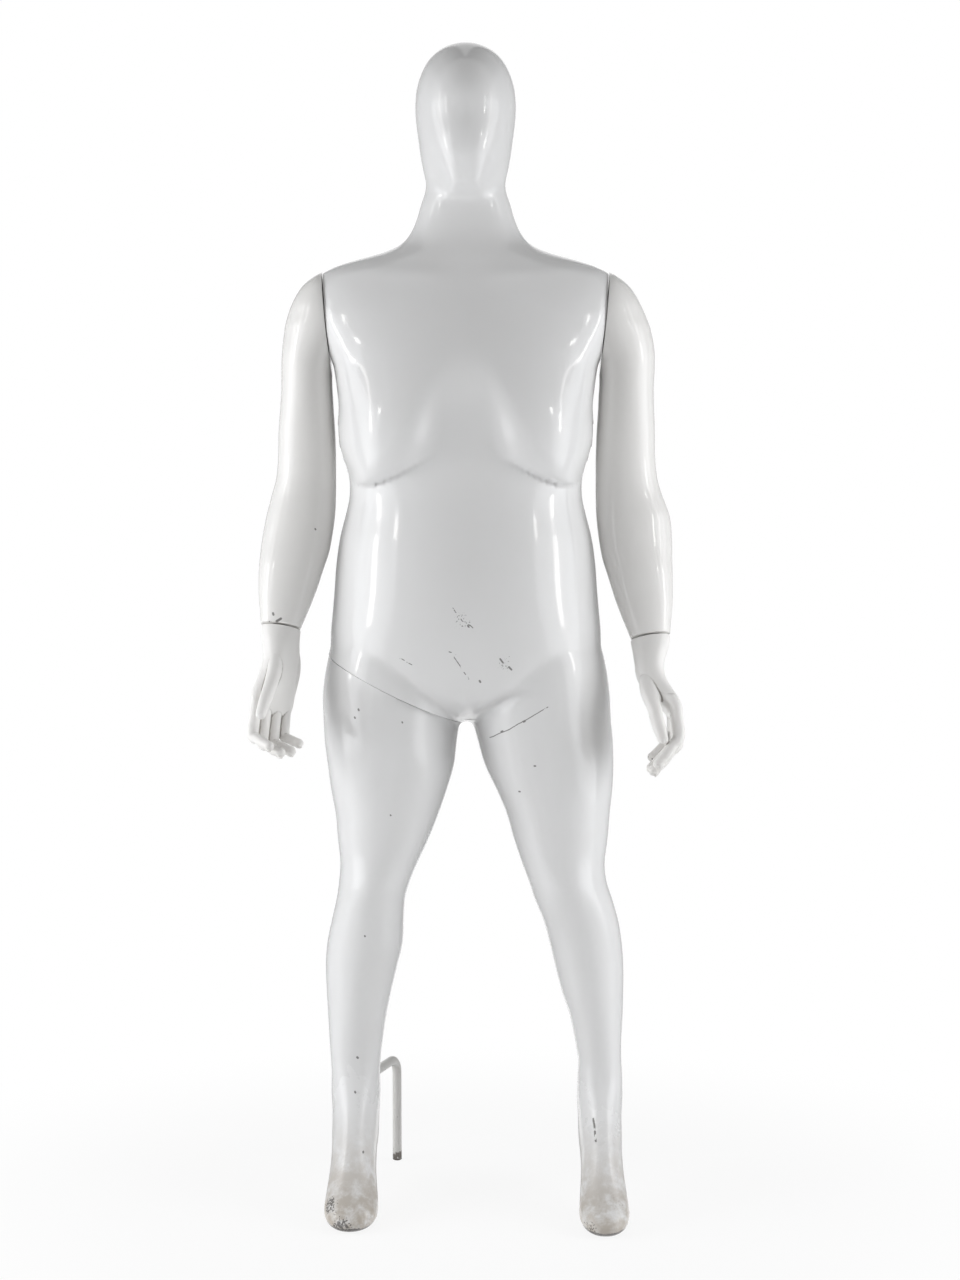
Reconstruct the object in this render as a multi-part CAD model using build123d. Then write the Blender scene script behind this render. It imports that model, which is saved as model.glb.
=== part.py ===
"""Full-body display mannequin, plus-size female form in a heel pose, with a calf support rod.

Millimetres. +Z is up and the figure faces -Y, so its own left side is +X. The floor is z 0.
Hollow forms are lofted twice, at their outer size and inset by the laminate wall.
"""

from build123d import *
import os
from collections import namedtuple
from math import copysign, cos, hypot, pi, radians, sin, sqrt, tan

# ---------------------------------------------------------------- driving dimensions

SHELL_WALL = 5.0          # glass-fibre laminate
BULKHEAD = 12.0           # closed end wall behind every cut, which carries a fitting
SEAM_GAP = 1.2            # open joint between two shells
RING_POINTS = 16          # points round one cross-section
PLATE_FIT = 0.1           # clearance of a plate or tube in its recess
SCREW_FIT = 0.05          # radial clearance of a screw

# trunk rings: height, half width (0 at the armholes), front, back, squareness, bust, chin,
# dip between the thighs, cleft behind, fullness of the seat behind each hip
Ring = namedtuple("Ring", "z half_width front back square bust chin fork cleft seat")
TRUNK = [
    Ring(768, 226, -137, 148, 2.8, 0, 0, 66, 84, 4),
    Ring(800, 224, -140, 156, 2.7, 0, 0, 26, 82, 6),
    Ring(835, 220, -147, 158, 2.55, 0, 0, 6, 68, 10),
    Ring(875, 213, -156, 150, 2.3, 0, 0, 0, 56, 22),
    Ring(920, 209, -161, 129, 2.2, 0, 0, 0, 28, 14),
    Ring(970, 205, -157, 103, 2.2, 0, 0, 0, 3, 0),
    Ring(1025, 200, -146, 93, 2.2, 0, 0, 0, 4, 0),
    Ring(1080, 188, -132, 92, 2.2, 0, 0, 0, 6, 0),
    Ring(1122, 180, -121, 97, 2.2, 9, 0, 0, 6, 0),
    Ring(1152, 186, -117, 101, 2.2, 32, 0, 0, 6, 0),
    Ring(1190, 194, -115, 107, 2.2, 44, 0, 0, 6, 0),
    Ring(1240, 197, -113, 114, 2.2, 35, 0, 0, 6, 0),
    Ring(1295, 201, -108, 122, 2.25, 16, 0, 0, 6, 0),
    Ring(1345, 0, -102, 124, 2.3, 5, 0, 0, 6, 0),
    Ring(1392, 0, -92, 119, 2.3, 0, 0, 0, 5, 0),
    Ring(1430, 0, -80, 110, 2.3, 0, 0, 0, 2, 0),
    Ring(1452, 219, -71, 103, 2.2, 0, 0, 0, 0, 0),
    Ring(1466, 199, -65, 97, 2.1, 0, 0, 0, 0, 0),
    Ring(1479, 160, -60, 91, 2.0, 0, 0, 0, 0, 0),
    Ring(1491, 120, -54, 86, 2.0, 0, 0, 0, 0, 0),
    Ring(1505, 95, -49, 80, 2.0, 0, 0, 0, 0, 0),
    Ring(1530, 78, -44, 71, 2.0, 0, 0, 0, 0, 0),
    Ring(1562, 67, -44, 63, 2.0, 0, 2, 0, 0, 0),
    Ring(1588, 61, -49, 64, 2.0, 0, 26, 0, 0, 0),
    Ring(1615, 66, -63, 72, 2.0, 0, 26, 0, 0, 0),
    Ring(1655, 73, -84, 90, 2.0, 0, 9, 0, 0, 0),
    Ring(1700, 77, -96, 103, 2.0, 0, 0, 0, 0, 0),
    Ring(1742, 73, -88, 99, 2.0, 0, 0, 0, 0, 0),
    Ring(1774, 58, -66, 80, 2.0, 0, 0, 0, 0, 0),
    Ring(1793, 37, -40, 54, 2.0, 0, 0, 0, 0, 0),
]
CROWN = (0, 5, 1804)      # top of the head
SPINE_Y = 8.0             # y of the widest line of the trunk and head
BUST_SPREAD = 120.0       # breast centres, out from the midline
BUST_WIDTH = 68.0
CHIN_WIDTH = 26.0
CLEFT_WIDTH = 42.0        # dip between the thighs and between the buttocks
SEAT_SPREAD = 150.0       # fullest line of the seat, out from the midline
SEAT_WIDTH = 52.0

# shoulder cut: an upright oval, leaning in towards the armpit
SHOULDER_X = 213.0
SHOULDER_Z = 1388.0
SHOULDER_HALF_HEIGHT = 70.0
SHOULDER_HALF_DEPTH = 58.0
SHOULDER_LEAN = 5.3       # degrees
SHOULDER_BLOCK = 98.0     # reach of the cut above and below its middle

# groin cut that frees the right leg: a plane along Y, falling towards the midline
GROIN_X = -112.0
GROIN_Y = 4.0
GROIN_Z = 818.0
GROIN_SLOPE = 26.5        # degrees

# leg rings: height, centre x outward, half width, front, back
LegRing = namedtuple("LegRing", "z x half_width front back")
LEG_SQUARENESS = 2.1
LEFT_LEG = [
    LegRing(768, 117, 109, -133, 143),
    LegRing(742, 122, 106, -131, 134),
    LegRing(712, 127, 103, -127, 124),
    LegRing(657, 138, 91, -116, 108),
    LegRing(600, 146, 77, -104, 92),
    LegRing(540, 152, 65, -93, 78),
    LegRing(485, 167, 61, -83, 69),
    LegRing(430, 185, 59, -65, 81),
    LegRing(369, 195, 54, -50, 91),
    LegRing(305, 204, 45, -37, 83),
    LegRing(252, 209, 37, -28, 70),
    LegRing(215, 211, 34, -24, 61),
]
RIGHT_LEG = [
    LegRing(768, 117, 109, -133, 143),
    LegRing(742, 116, 105, -131, 134),
    LegRing(712, 117, 101, -127, 124),
    LegRing(657, 120, 91, -116, 108),
    LegRing(600, 127, 77, -104, 92),
    LegRing(540, 137, 61, -93, 78),
    LegRing(485, 149, 54, -83, 69),
    LegRing(430, 157, 58, -65, 81),
    LegRing(369, 166, 57, -50, 91),
    LegRing(305, 172, 48, -37, 83),
    LegRing(252, 175, 43, -28, 70),
    LegRing(215, 176, 39, -24, 61),
]
HOLLOW_FOOT = 300.0       # the calf is solid below this height
LEFT_STRIDE = 19.0        # how far the left foot stands ahead
STRIDE_TOP = 733.0        # height where the stride starts

# foot sections, fanned round the instep: back y and z, front y and z, half width
FootSection = namedtuple("FootSection", "back_y back_z front_y front_z half_width")
FOOT = [
    FootSection(60, 182, -29, 196, 37),
    FootSection(72, 128, -45, 166, 35),
    FootSection(72, 82, -66, 138, 35),
    FootSection(34, 64, -88, 113, 34),
    FootSection(-22, 44, -110, 84, 35),
    FootSection(-70, 8, -130, 60, 38),
    FootSection(-98, -4, -144, 46, 39),
    FootSection(-130, -4, -158, 32, 33),
    FootSection(-158, 0, -171, 19, 17),
]
TOE_TIP = (-176, 10)      # y and z

# shoulder cap, level rings: height, outer x, half depth (0 where the shoulder cut sets it)
CapRing = namedtuple("CapRing", "z outer_x half_depth")
SHOULDER_CAP = [
    CapRing(1451, 234, 0),
    CapRing(1436, 252, 0),
    CapRing(1412, 268, 0),
    CapRing(1386, 277, 0),
    CapRing(1360, 282, 56.5),
    CapRing(1336, 285, 54),
]
# arm sections down to the wrist, all outward from the midline:
# inner x and z, outer x and z, centre y, half depth, forward lean in degrees
ArmSection = namedtuple("ArmSection", "inner_x inner_z outer_x outer_z y half_depth lean")
ARM = [
    ArmSection(207, 1310, 286, 1310, 9, 52, 0),
    ArmSection(205, 1250, 288, 1250, 13, 49, 0),
    ArmSection(204, 1180, 292, 1178, 15, 46, 0),
    ArmSection(204, 1118, 303, 1112, 12, 46, 6),
    ArmSection(206, 1060, 314, 1053, -3, 45, 18),
    ArmSection(216, 1004, 317, 1006, -25, 39, 20),
    ArmSection(232, 958, 317, 966, -42, 32, 20),
    ArmSection(253, 911, 313, 919, -60, 25, 20),
]
ARM_SQUARENESS = 2.1
LEFT_ARM_DROP = 15.0      # extra length of the left arm, shoulder to wrist
DROP_TOP = 1300.0         # height where that extra length starts

# hand, drawn as a left hand with its palm forward: z down from the wrist cut, x to the thumb
PalmRing = namedtuple("PalmRing", "z x half_width palm back")
PALM = [
    PalmRing(0, 0, 29, -24, 24),
    PalmRing(-28, 0, 26, -20, 19),
    PalmRing(-58, 2, 32, -22, 17),
    PalmRing(-88, 3, 40, -19, 15),
    PalmRing(-116, 1, 43.5, -14, 14),
]
HAND_SQUARENESS = 3.0
# fingers: x of the root, radius, lengths of the root bone and of the two end bones
Finger = namedtuple("Finger", "x radius root end")
FINGERS = [
    Finger(31.5, 9.6, 44, 52),
    Finger(11.2, 9.9, 48, 56),
    Finger(-9.1, 9.6, 46, 53),
    Finger(-28.4, 8.8, 38, 43),
]
KNUCKLE_ROUND = 14.0      # bend radius of a finger's axis
KNUCKLE_LEAN = 6.0        # degrees forward of the root bones
RIGHT_CURL = 66.0         # degrees of bend at the middle knuckle
LEFT_CURL = 48.0
THUMB_ROOT = (20, -4, -42)
THUMB_KNUCKLE = (35, -22, -74)
THUMB_TIP = (33, -38, -122)
THUMB_RADIUS = 10.5
TIP_ROUND = 0.9           # rounding of a finger's end, as a share of its radius
RIGHT_HAND_TURN = 45.0    # degrees from palm forward towards palm to the thigh
LEFT_HAND_TURN = 84.0

# fittings: a screwed plate with a socket tube in the parent, a screwed plate with a post in the child
Fitting = namedtuple("Fitting", "plate_radius plate post_radius post_length tube_wall screws "
                                "screw_circle screw_radius screw_length washer_width")
SHOULDER = Fitting(36, 3, 9, 42, 3, 4, 26, 2.5, 11, 8)
WRIST = Fitting(17.5, 2, 4, 24, 2, 3, 12, 1.5, 9, 4)
HIP = Fitting(52, 4, 12.5, 60, 3.5, 6, 42, 3, 12, 0)
POST_CLEARANCE = 0.08     # radial, post in its socket and washer on its post
WASHER_SLACK = 0.15       # each side of a washer in the seam gap
SCREW_HEAD = 2.0          # countersunk head radius over screw radius
DOWEL_RADIUS = 5.0        # keeps the leg from turning on its post
DOWEL_LENGTH = 24.0
DOWEL_OFFSET = 28.0

# calf rod: a bent steel bar, level out of the calf and then upright to the floor
ROD_RADIUS = 6.5
ROD_BEND = 26.0
ROD_HEIGHT = 175.5
ROD_X = -117.0
ROD_Y = 174.0
ROD_HEADING = 21.0        # degrees inward of straight back
ROD_RUN = 176.0           # level length, inner end to the upright's axis
ROD_CHAMFER = 1.2
CALF_SOCKET_WALL = 3.0
CALF_SOCKET_LENGTH = 62.0
CALF_MOUTH = 116.0        # socket mouth, from the upright's axis
CALF_FLANGE = 15.0        # radius of its flange outside the skin
CALF_FLANGE_THICKNESS = 3.0
GRUB_RADIUS = 4.0
GRUB_LENGTH = 14.0
GRUB_FROM_MOUTH = 30.0
GRUB_TIP_GAP = 0.3
GRUB_HEX = 2.0
GRUB_HEX_DEPTH = 5.0
GRUB_HOLE = 60.0          # reach of its drilled hole, out through the skin

CROTCH_Z = TRUNK[0].z
ANKLE_Z = LEFT_LEG[-1].z


# ---------------------------------------------------------------- cross-sections

def power(value, exponent):
    """value raised to exponent, keeping its sign."""
    return copysign(abs(value) ** exponent, value)


def swell(x, centre, width):
    """A smooth hump, 1 at its centre."""
    return 2.718281828 ** (-(((x - centre) / width) ** 2))


def ring_turns():
    return [2 * pi * i / RING_POINTS for i in range(RING_POINTS)]


def closed_wire(points):
    return Wire([Edge.make_spline(points, periodic=True)])


def oval(half_width, front, back, square, middle):
    """Flat points of a squared oval."""
    points = []
    for turn in ring_turns():
        depth = back - middle if sin(turn) > 0 else middle - front
        points.append((half_width * power(cos(turn), 2 / square),
                       middle + depth * power(sin(turn), 2 / square)))
    return points


def shoulder_x(z):
    """Distance of the shoulder cut from the midline at height z."""
    return SHOULDER_X + (z - SHOULDER_Z) * tan(radians(SHOULDER_LEAN))


def shoulder_half_depth(z):
    rise = (z - SHOULDER_Z) / SHOULDER_HALF_HEIGHT
    return SHOULDER_HALF_DEPTH * sqrt(max(0.0, 1 - rise * rise))


def armhole_half_width(ring):
    """Half width that takes a ring through the edge of the shoulder oval at its height."""
    share = min(0.85, 2 * shoulder_half_depth(ring.z) / (ring.back - ring.front))
    return shoulder_x(ring.z) / (1 - share ** ring.square) ** (1 / ring.square)


def trunk_wire(ring, inset):
    """One level ring of the pelvis, torso, neck or head."""
    half_width = ring.half_width or armhole_half_width(ring)
    flat = oval(half_width - inset, ring.front + inset, ring.back - inset, ring.square, SPINE_Y)
    points = []
    for x, y in flat:
        if y < SPINE_Y:
            facing = (SPINE_Y - y) / (SPINE_Y - ring.front)
            breasts = swell(x, BUST_SPREAD, BUST_WIDTH) + swell(x, -BUST_SPREAD, BUST_WIDTH)
            y -= facing * (ring.bust * breasts + ring.chin * swell(x, 0, CHIN_WIDTH))
            y += ring.fork * swell(x, 0, CLEFT_WIDTH + inset)
        else:
            behind = (y - SPINE_Y) / (ring.back - SPINE_Y)
            seat = swell(x, SEAT_SPREAD, SEAT_WIDTH) + swell(x, -SEAT_SPREAD, SEAT_WIDTH)
            y += behind * ring.seat * seat - ring.cleft * swell(x, 0, CLEFT_WIDTH + inset)
        points.append((x, y, ring.z))
    return closed_wire(points)


def trunk_form():
    return Solid.make_loft([trunk_wire(ring, 0) for ring in TRUNK] + [Vertex(*CROWN)])


def trunk_cavity():
    floor = TRUNK[0]._replace(z=CROTCH_Z + SHELL_WALL)
    return Solid.make_loft([trunk_wire(ring, SHELL_WALL) for ring in [floor] + TRUNK[1:]])


def stride_at(z, stride):
    return stride * min(1.0, max(0.0, (STRIDE_TOP - z) / (STRIDE_TOP - ANKLE_Z)))


def leg_wire(ring, side, stride, inset):
    middle = (ring.front + ring.back) / 2
    flat = oval(ring.half_width - inset, ring.front + inset, ring.back - inset,
                LEG_SQUARENESS, middle)
    ahead = stride_at(ring.z, stride)
    return closed_wire([(side * ring.x + x, y - ahead, ring.z) for x, y in flat])


def foot_wire(section, x, stride):
    """One section of the foot, its plane holding the X axis."""
    rise = section.back_z - section.front_z
    run = section.back_y - section.front_y
    half = hypot(rise, run) / 2
    centre_y = (section.back_y + section.front_y) / 2 - stride
    centre_z = (section.back_z + section.front_z) / 2
    flat = oval(section.half_width, -half, half, LEG_SQUARENESS, 0)
    return closed_wire([(x + across, centre_y + along * run / (2 * half),
                         centre_z + along * rise / (2 * half)) for across, along in flat])


def leg_form(rings, side, stride):
    """From the crotch to the toe, with the sole flattened at the floor."""
    x = side * rings[-1].x
    wires = [leg_wire(ring, side, stride, 0) for ring in rings]
    wires += [foot_wire(section, x, stride) for section in FOOT]
    tip = Vertex(x, TOE_TIP[0] - stride, TOE_TIP[1])
    return split(Solid.make_loft(wires + [tip]), bisect_by=Plane.XY, keep=Keep.TOP)


def leg_cavity(rings, side, stride):
    """Hollow of the thigh and calf."""
    hollow = Solid.make_loft([leg_wire(ring, side, stride, SHELL_WALL) for ring in rings])
    return split(hollow, bisect_by=Plane.XY.offset(HOLLOW_FOOT), keep=Keep.TOP)


def dropped(z, drop):
    return z - drop * min(1.0, max(0.0, (DROP_TOP - z) / (DROP_TOP - ARM[-1].inner_z)))


def cap_wire(ring, side, inset):
    """A level ring of the shoulder cap, running on through the shoulder cut."""
    at_cut = shoulder_half_depth(ring.z)
    half_depth = ring.half_depth or at_cut
    share = sqrt(1 - (at_cut / half_depth) ** 2)
    centre = (shoulder_x(ring.z) + share * ring.outer_x) / (1 + share)
    flat = oval(ring.outer_x - centre - inset, inset - half_depth, half_depth - inset, 2.0, 0)
    return closed_wire([(side * (centre + x), SPINE_Y + y, ring.z) for x, y in flat])


def arm_form(side, drop, inset):
    wires = [cap_wire(ring, side, inset) for ring in SHOULDER_CAP]
    wires += [arm_wire(section, side, drop, inset) for section in ARM]
    if not inset:
        top = SHOULDER_Z + SHOULDER_HALF_HEIGHT
        wires.insert(0, Vertex(side * (shoulder_x(top) + 2 * SEAM_GAP), SPINE_Y, top))
    return Solid.make_loft(wires)


def arm_wire(section, side, drop, inset):
    inner_z = dropped(section.inner_z, drop)
    outer_z = dropped(section.outer_z, drop)
    run = section.outer_x - section.inner_x
    rise = outer_z - inner_z
    half = hypot(run, rise) / 2
    lean = radians(section.lean)
    points = []
    for along, deep in oval(half - inset, inset - section.half_depth,
                            section.half_depth - inset, ARM_SQUARENESS, 0):
        x = (section.inner_x + section.outer_x) / 2 + along * run / (2 * half)
        z = (inner_z + outer_z) / 2 + along * rise / (2 * half) - deep * sin(lean)
        points.append((side * x, section.y + deep * cos(lean), z))
    return closed_wire(points)


# ---------------------------------------------------------------- cut planes and fitting frames

def shoulder_plane(side):
    """On the trunk's cut face, looking outward into the arm."""
    lean = radians(SHOULDER_LEAN)
    return Plane(origin=(side * SHOULDER_X, SPINE_Y, SHOULDER_Z), x_dir=(0, 1, 0),
                 z_dir=(side * cos(lean), 0, -sin(lean)))


def wrist_plane(side, drop):
    """On the arm's cut face, looking down into the hand."""
    end = ARM[-1]
    inner_z, outer_z = dropped(end.inner_z, drop), dropped(end.outer_z, drop)
    across = Vector(side * (end.outer_x - end.inner_x), 0, outer_z - inner_z)
    deep = Vector(0, cos(radians(end.lean)), -sin(radians(end.lean)))
    normal = across.cross(deep) * side
    return Plane(origin=(side * (end.inner_x + end.outer_x) / 2, end.y, (inner_z + outer_z) / 2),
                 x_dir=across * side, z_dir=normal * -1)


def shoulder_block(side, distance):
    """What a trunk form gives up past its shoulder cut. The hips below keep their width."""
    block = Box(2.2 * SHOULDER_BLOCK, 2 * SHOULDER_BLOCK, SHOULDER_BLOCK,
                align=(Align.CENTER, Align.CENTER, Align.MIN))
    return shoulder_plane(side).location * Pos(0, 0, distance) * block


def groin_plane():
    """On the trunk's cut face, looking down into the right leg."""
    slope = radians(GROIN_SLOPE)
    return Plane(origin=(GROIN_X, GROIN_Y, GROIN_Z), x_dir=(0, 1, 0),
                 z_dir=(-sin(slope), 0, -cos(slope)))


def beyond(solid, plane, distance):
    """What lies past a plane, on the side that it looks to."""
    return split(solid, bisect_by=plane.offset(distance), keep=Keep.TOP)


def before(solid, plane, distance):
    return split(solid, bisect_by=plane.offset(distance), keep=Keep.BOTTOM)


# ---------------------------------------------------------------- fittings, along +Z of their frame

def rod(radius, low, high):
    return Pos(0, 0, low) * Cylinder(radius, high - low, align=(Align.CENTER, Align.CENTER, Align.MIN))


def screw_spots(fitting):
    return [Pos(p.X, p.Y, 0) for p in
            [Vector(fitting.screw_circle, 0, 0).rotate(Axis.Z, 360 * (i + 0.5) / fitting.screws)
             for i in range(fitting.screws)]]


def screw(fitting, fit):
    """Countersunk, its head flush at z 0 and its shank running down."""
    radius = fitting.screw_radius + fit
    head = fitting.screw_radius * SCREW_HEAD + fit
    sink = fitting.screw_radius
    cone = Pos(0, 0, -sink / 2) * Cone(radius, head, sink)
    return cone + rod(radius, -fitting.screw_length - fit, -sink / 2)


def tube_radius(fitting):
    return fitting.post_radius + POST_CLEARANCE + fitting.tube_wall


def socket(fitting):
    """Parent side: plate flush with the face, tube running back into the parent."""
    body = rod(fitting.plate_radius, -fitting.plate, 0)
    body += rod(tube_radius(fitting), -fitting.post_length - fitting.tube_wall, 0)
    body -= rod(fitting.post_radius + POST_CLEARANCE, -fitting.post_length - 2 * fitting.tube_wall, 1)
    for spot in screw_spots(fitting):
        body -= spot * screw(fitting, SCREW_FIT)
    return body


def socket_recess(fitting):
    """What the parent's end wall gives up to its socket."""
    cut = rod(fitting.plate_radius + PLATE_FIT, -fitting.plate, 1)
    cut += rod(tube_radius(fitting) + PLATE_FIT, -2 * fitting.post_length, 1)
    for spot in screw_spots(fitting):
        cut += spot * rod(fitting.screw_radius + SCREW_FIT, -fitting.screw_length - SCREW_FIT, 1)
    return cut


def spigot(fitting):
    """Child side: plate flush with the child's face at the seam gap, post back into the socket."""
    body = rod(fitting.plate_radius, SEAM_GAP, SEAM_GAP + fitting.plate)
    body += rod(fitting.post_radius, -fitting.post_length, SEAM_GAP + fitting.plate)
    for spot in screw_spots(fitting):
        body -= spot * Pos(0, 0, SEAM_GAP) * Rot(180, 0, 0) * screw(fitting, SCREW_FIT)
    return body


def spigot_recess(fitting):
    cut = rod(fitting.plate_radius + PLATE_FIT, SEAM_GAP - 1, SEAM_GAP + fitting.plate)
    for spot in screw_spots(fitting):
        cut += spot * rod(fitting.screw_radius + SCREW_FIT, SEAM_GAP,
                          SEAM_GAP + fitting.screw_length + SCREW_FIT)
    return cut


def socket_screws(fitting):
    return [spot * screw(fitting, 0) for spot in screw_spots(fitting)]


def spigot_screws(fitting):
    return [spot * Pos(0, 0, SEAM_GAP) * Rot(180, 0, 0) * screw(fitting, 0)
            for spot in screw_spots(fitting)]


def washer(fitting):
    ring = rod(fitting.post_radius + fitting.washer_width, WASHER_SLACK, SEAM_GAP - WASHER_SLACK)
    return ring - rod(fitting.post_radius + POST_CLEARANCE, 0, SEAM_GAP)


# ---------------------------------------------------------------- hands

def digit(points, radius):
    """A round bar through the points, its far end rounded."""
    path = FilletPolyline(*points, radius=KNUCKLE_ROUND)
    bar = sweep(Plane(points[0], z_dir=points[1] - points[0]) * Circle(radius), path=path)
    end = bar.faces().filter_by(GeomType.PLANE).sort_by_distance(points[-1])[0]
    return fillet(end.edges(), radius * TIP_ROUND)


def finger(part, curl):
    root = Vector(part.x, 0, PALM[-1].z)
    lean, bent = radians(KNUCKLE_LEAN), radians(KNUCKLE_LEAN + curl)
    middle = root + Vector(0, -sin(lean), -cos(lean)) * part.root
    tip = middle + Vector(0, -sin(bent), -cos(bent)) * part.end
    return digit([root, middle, tip], part.radius)


def thumb():
    return digit([Vector(*THUMB_ROOT), Vector(*THUMB_KNUCKLE), Vector(*THUMB_TIP)], THUMB_RADIUS)


def hand_form(curl):
    wires = []
    for ring in PALM:
        flat = oval(ring.half_width, ring.palm, ring.back, HAND_SQUARENESS, 0)
        wires.append(closed_wire([(ring.x + x, y, ring.z) for x, y in flat]))
    hand = Solid.make_loft(wires)
    for part in FINGERS:
        hand += finger(part, curl)
    return hand + thumb()


# ---------------------------------------------------------------- pieces

def placed(plane, shape):
    return plane.location * shape


def save(name, *solids):
    shape = solids[0] if len(solids) == 1 else Compound(children=list(solids))
    shape.label = name
    export_step(shape, "parts/" + name + ".step")


def make_arm(name, side, drop):
    shoulder, wrist = shoulder_plane(side), wrist_plane(side, drop)
    arm = arm_form(side, drop, 0)
    arm = before(beyond(arm, shoulder, SEAM_GAP), wrist, 0)
    hollow = arm_form(side, drop, SHELL_WALL)
    arm -= before(beyond(hollow, shoulder, SEAM_GAP + BULKHEAD), wrist, -BULKHEAD)
    arm -= placed(shoulder, spigot_recess(SHOULDER))
    arm -= placed(wrist, socket_recess(WRIST))
    save(name + "_arm_shell", arm)
    save(name + "_shoulder_spigot", placed(shoulder, spigot(SHOULDER)))
    save(name + "_shoulder_spigot_screws", *[placed(shoulder, s) for s in spigot_screws(SHOULDER)])
    save(name + "_shoulder_washer", placed(shoulder, washer(SHOULDER)))
    save(name + "_shoulder_socket", placed(shoulder, socket(SHOULDER)))
    save(name + "_shoulder_socket_screws", *[placed(shoulder, s) for s in socket_screws(SHOULDER)])
    save(name + "_wrist_socket", placed(wrist, socket(WRIST)))
    save(name + "_wrist_socket_screws", *[placed(wrist, s) for s in socket_screws(WRIST)])


def make_hand(name, side, drop, curl, turn):
    """The hand hangs along the wrist's axis. A right hand is the mirrored left."""
    wrist = wrist_plane(side, drop)
    hand = hand_form(curl)
    if side < 0:
        hand = mirror(hand, about=Plane.YZ)
    upright = Plane(origin=wrist.origin, x_dir=wrist.x_dir, z_dir=wrist.z_dir * -1)
    hand = upright.location * Rot(0, 0, -side * turn) * hand
    hand = beyond(hand, wrist, SEAM_GAP)
    hand -= placed(wrist, spigot_recess(WRIST))
    save(name + "_hand", hand)
    save(name + "_wrist_spigot", placed(wrist, spigot(WRIST)))
    save(name + "_wrist_spigot_screws", *[placed(wrist, s) for s in spigot_screws(WRIST)])
    save(name + "_wrist_washer", placed(wrist, washer(WRIST)))


def calf_axis():
    """Frame at the socket's mouth, looking along the level rod towards its bend."""
    heading = radians(ROD_HEADING)
    way = Vector(sin(heading), cos(heading), 0)
    mouth = Vector(ROD_X, ROD_Y, ROD_HEIGHT) - way * CALF_MOUTH
    return Plane(origin=mouth, x_dir=(cos(heading), -sin(heading), 0), z_dir=way)


def make_calf_fitting():
    """Socket tube, grub screw and rod. Returns what the leg gives up to them."""
    axis = calf_axis()
    outer = ROD_RADIUS + POST_CLEARANCE + CALF_SOCKET_WALL
    tube = rod(outer, -CALF_SOCKET_LENGTH, 0) + rod(CALF_FLANGE, -CALF_FLANGE_THICKNESS, 0)
    tube -= rod(ROD_RADIUS + POST_CLEARANCE, -CALF_SOCKET_LENGTH - 1, 1)
    side_on = Pos(0, 0, -GRUB_FROM_MOUTH) * Rot(0, 90, 0)
    tube -= side_on * rod(GRUB_RADIUS + SCREW_FIT, 0, outer + 1)
    save("calf_socket", placed(axis, tube))
    start = ROD_RADIUS + GRUB_TIP_GAP
    grub = rod(GRUB_RADIUS, start, start + GRUB_LENGTH)
    key = extrude(RegularPolygon(GRUB_HEX, 6, major_radius=False), GRUB_HEX_DEPTH + 1)
    grub -= Pos(0, 0, start + GRUB_LENGTH - GRUB_HEX_DEPTH) * key
    save("calf_grub_screw", placed(axis, side_on * grub))
    heading = radians(ROD_HEADING)
    way = Vector(sin(heading), cos(heading), 0)
    top = Vector(ROD_X, ROD_Y, ROD_HEIGHT)
    path = FilletPolyline(top - way * ROD_RUN, top, Vector(ROD_X, ROD_Y, 0), radius=ROD_BEND)
    bar = sweep(Plane(top - way * ROD_RUN, z_dir=way) * Circle(ROD_RADIUS), path=path)
    bar = chamfer(bar.edges().filter_by(GeomType.CIRCLE).sort_by(Axis.Z)[0], ROD_CHAMFER)
    save("calf_rod", bar)
    cut = rod(outer + PLATE_FIT, -CALF_SOCKET_LENGTH, 0)
    cut += rod(CALF_FLANGE + PLATE_FIT, -CALF_FLANGE_THICKNESS, GRUB_HOLE)
    cut += side_on * rod(GRUB_RADIUS + SCREW_FIT, 0, GRUB_HOLE)
    return placed(axis, cut)


def dowel(low, high, fit):
    return Pos(DOWEL_OFFSET, 0, 0) * rod(DOWEL_RADIUS + fit, low, high)


def make_right_leg(pelvis, hollow):
    groin = groin_plane()
    leg = beyond(pelvis, groin, SEAM_GAP) - beyond(hollow, groin, SEAM_GAP + BULKHEAD)
    lower = leg_form(RIGHT_LEG, -1, 0) - leg_cavity(RIGHT_LEG, -1, 0)
    leg += lower
    leg -= placed(groin, spigot_recess(HIP))
    leg -= make_calf_fitting()
    save("right_leg_shell", leg)
    plate = spigot(HIP) - dowel(SEAM_GAP - 1, SEAM_GAP + HIP.plate + 1, 0)
    save("hip_spigot", placed(groin, plate))
    save("hip_dowel", placed(groin, dowel(SEAM_GAP + HIP.plate - DOWEL_LENGTH,
                                          SEAM_GAP + HIP.plate, 0)))
    save("hip_spigot_screws", *[placed(groin, s) for s in spigot_screws(HIP)])
    hole = dowel(SEAM_GAP + HIP.plate - 2 * DOWEL_LENGTH, 1, POST_CLEARANCE)
    save("hip_socket", placed(groin, socket(HIP) - hole))
    save("hip_socket_screws", *[placed(groin, s) for s in socket_screws(HIP)])


def make_body(pelvis, hollow):
    groin = groin_plane()
    body = before(pelvis, groin, 0)
    hollow = before(hollow, groin, -BULKHEAD)
    for side in (-1, 1):
        body -= shoulder_block(side, 0)
        hollow -= shoulder_block(side, -BULKHEAD)
    body -= hollow
    body += leg_form(LEFT_LEG, 1, LEFT_STRIDE) - leg_cavity(LEFT_LEG, 1, LEFT_STRIDE)
    for side in (-1, 1):
        body -= placed(shoulder_plane(side), socket_recess(SHOULDER))
    body -= placed(groin, socket_recess(HIP))
    body -= placed(groin, dowel(-2 * DOWEL_LENGTH, 1, POST_CLEARANCE + PLATE_FIT))
    save("body_shell", body)


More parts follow.
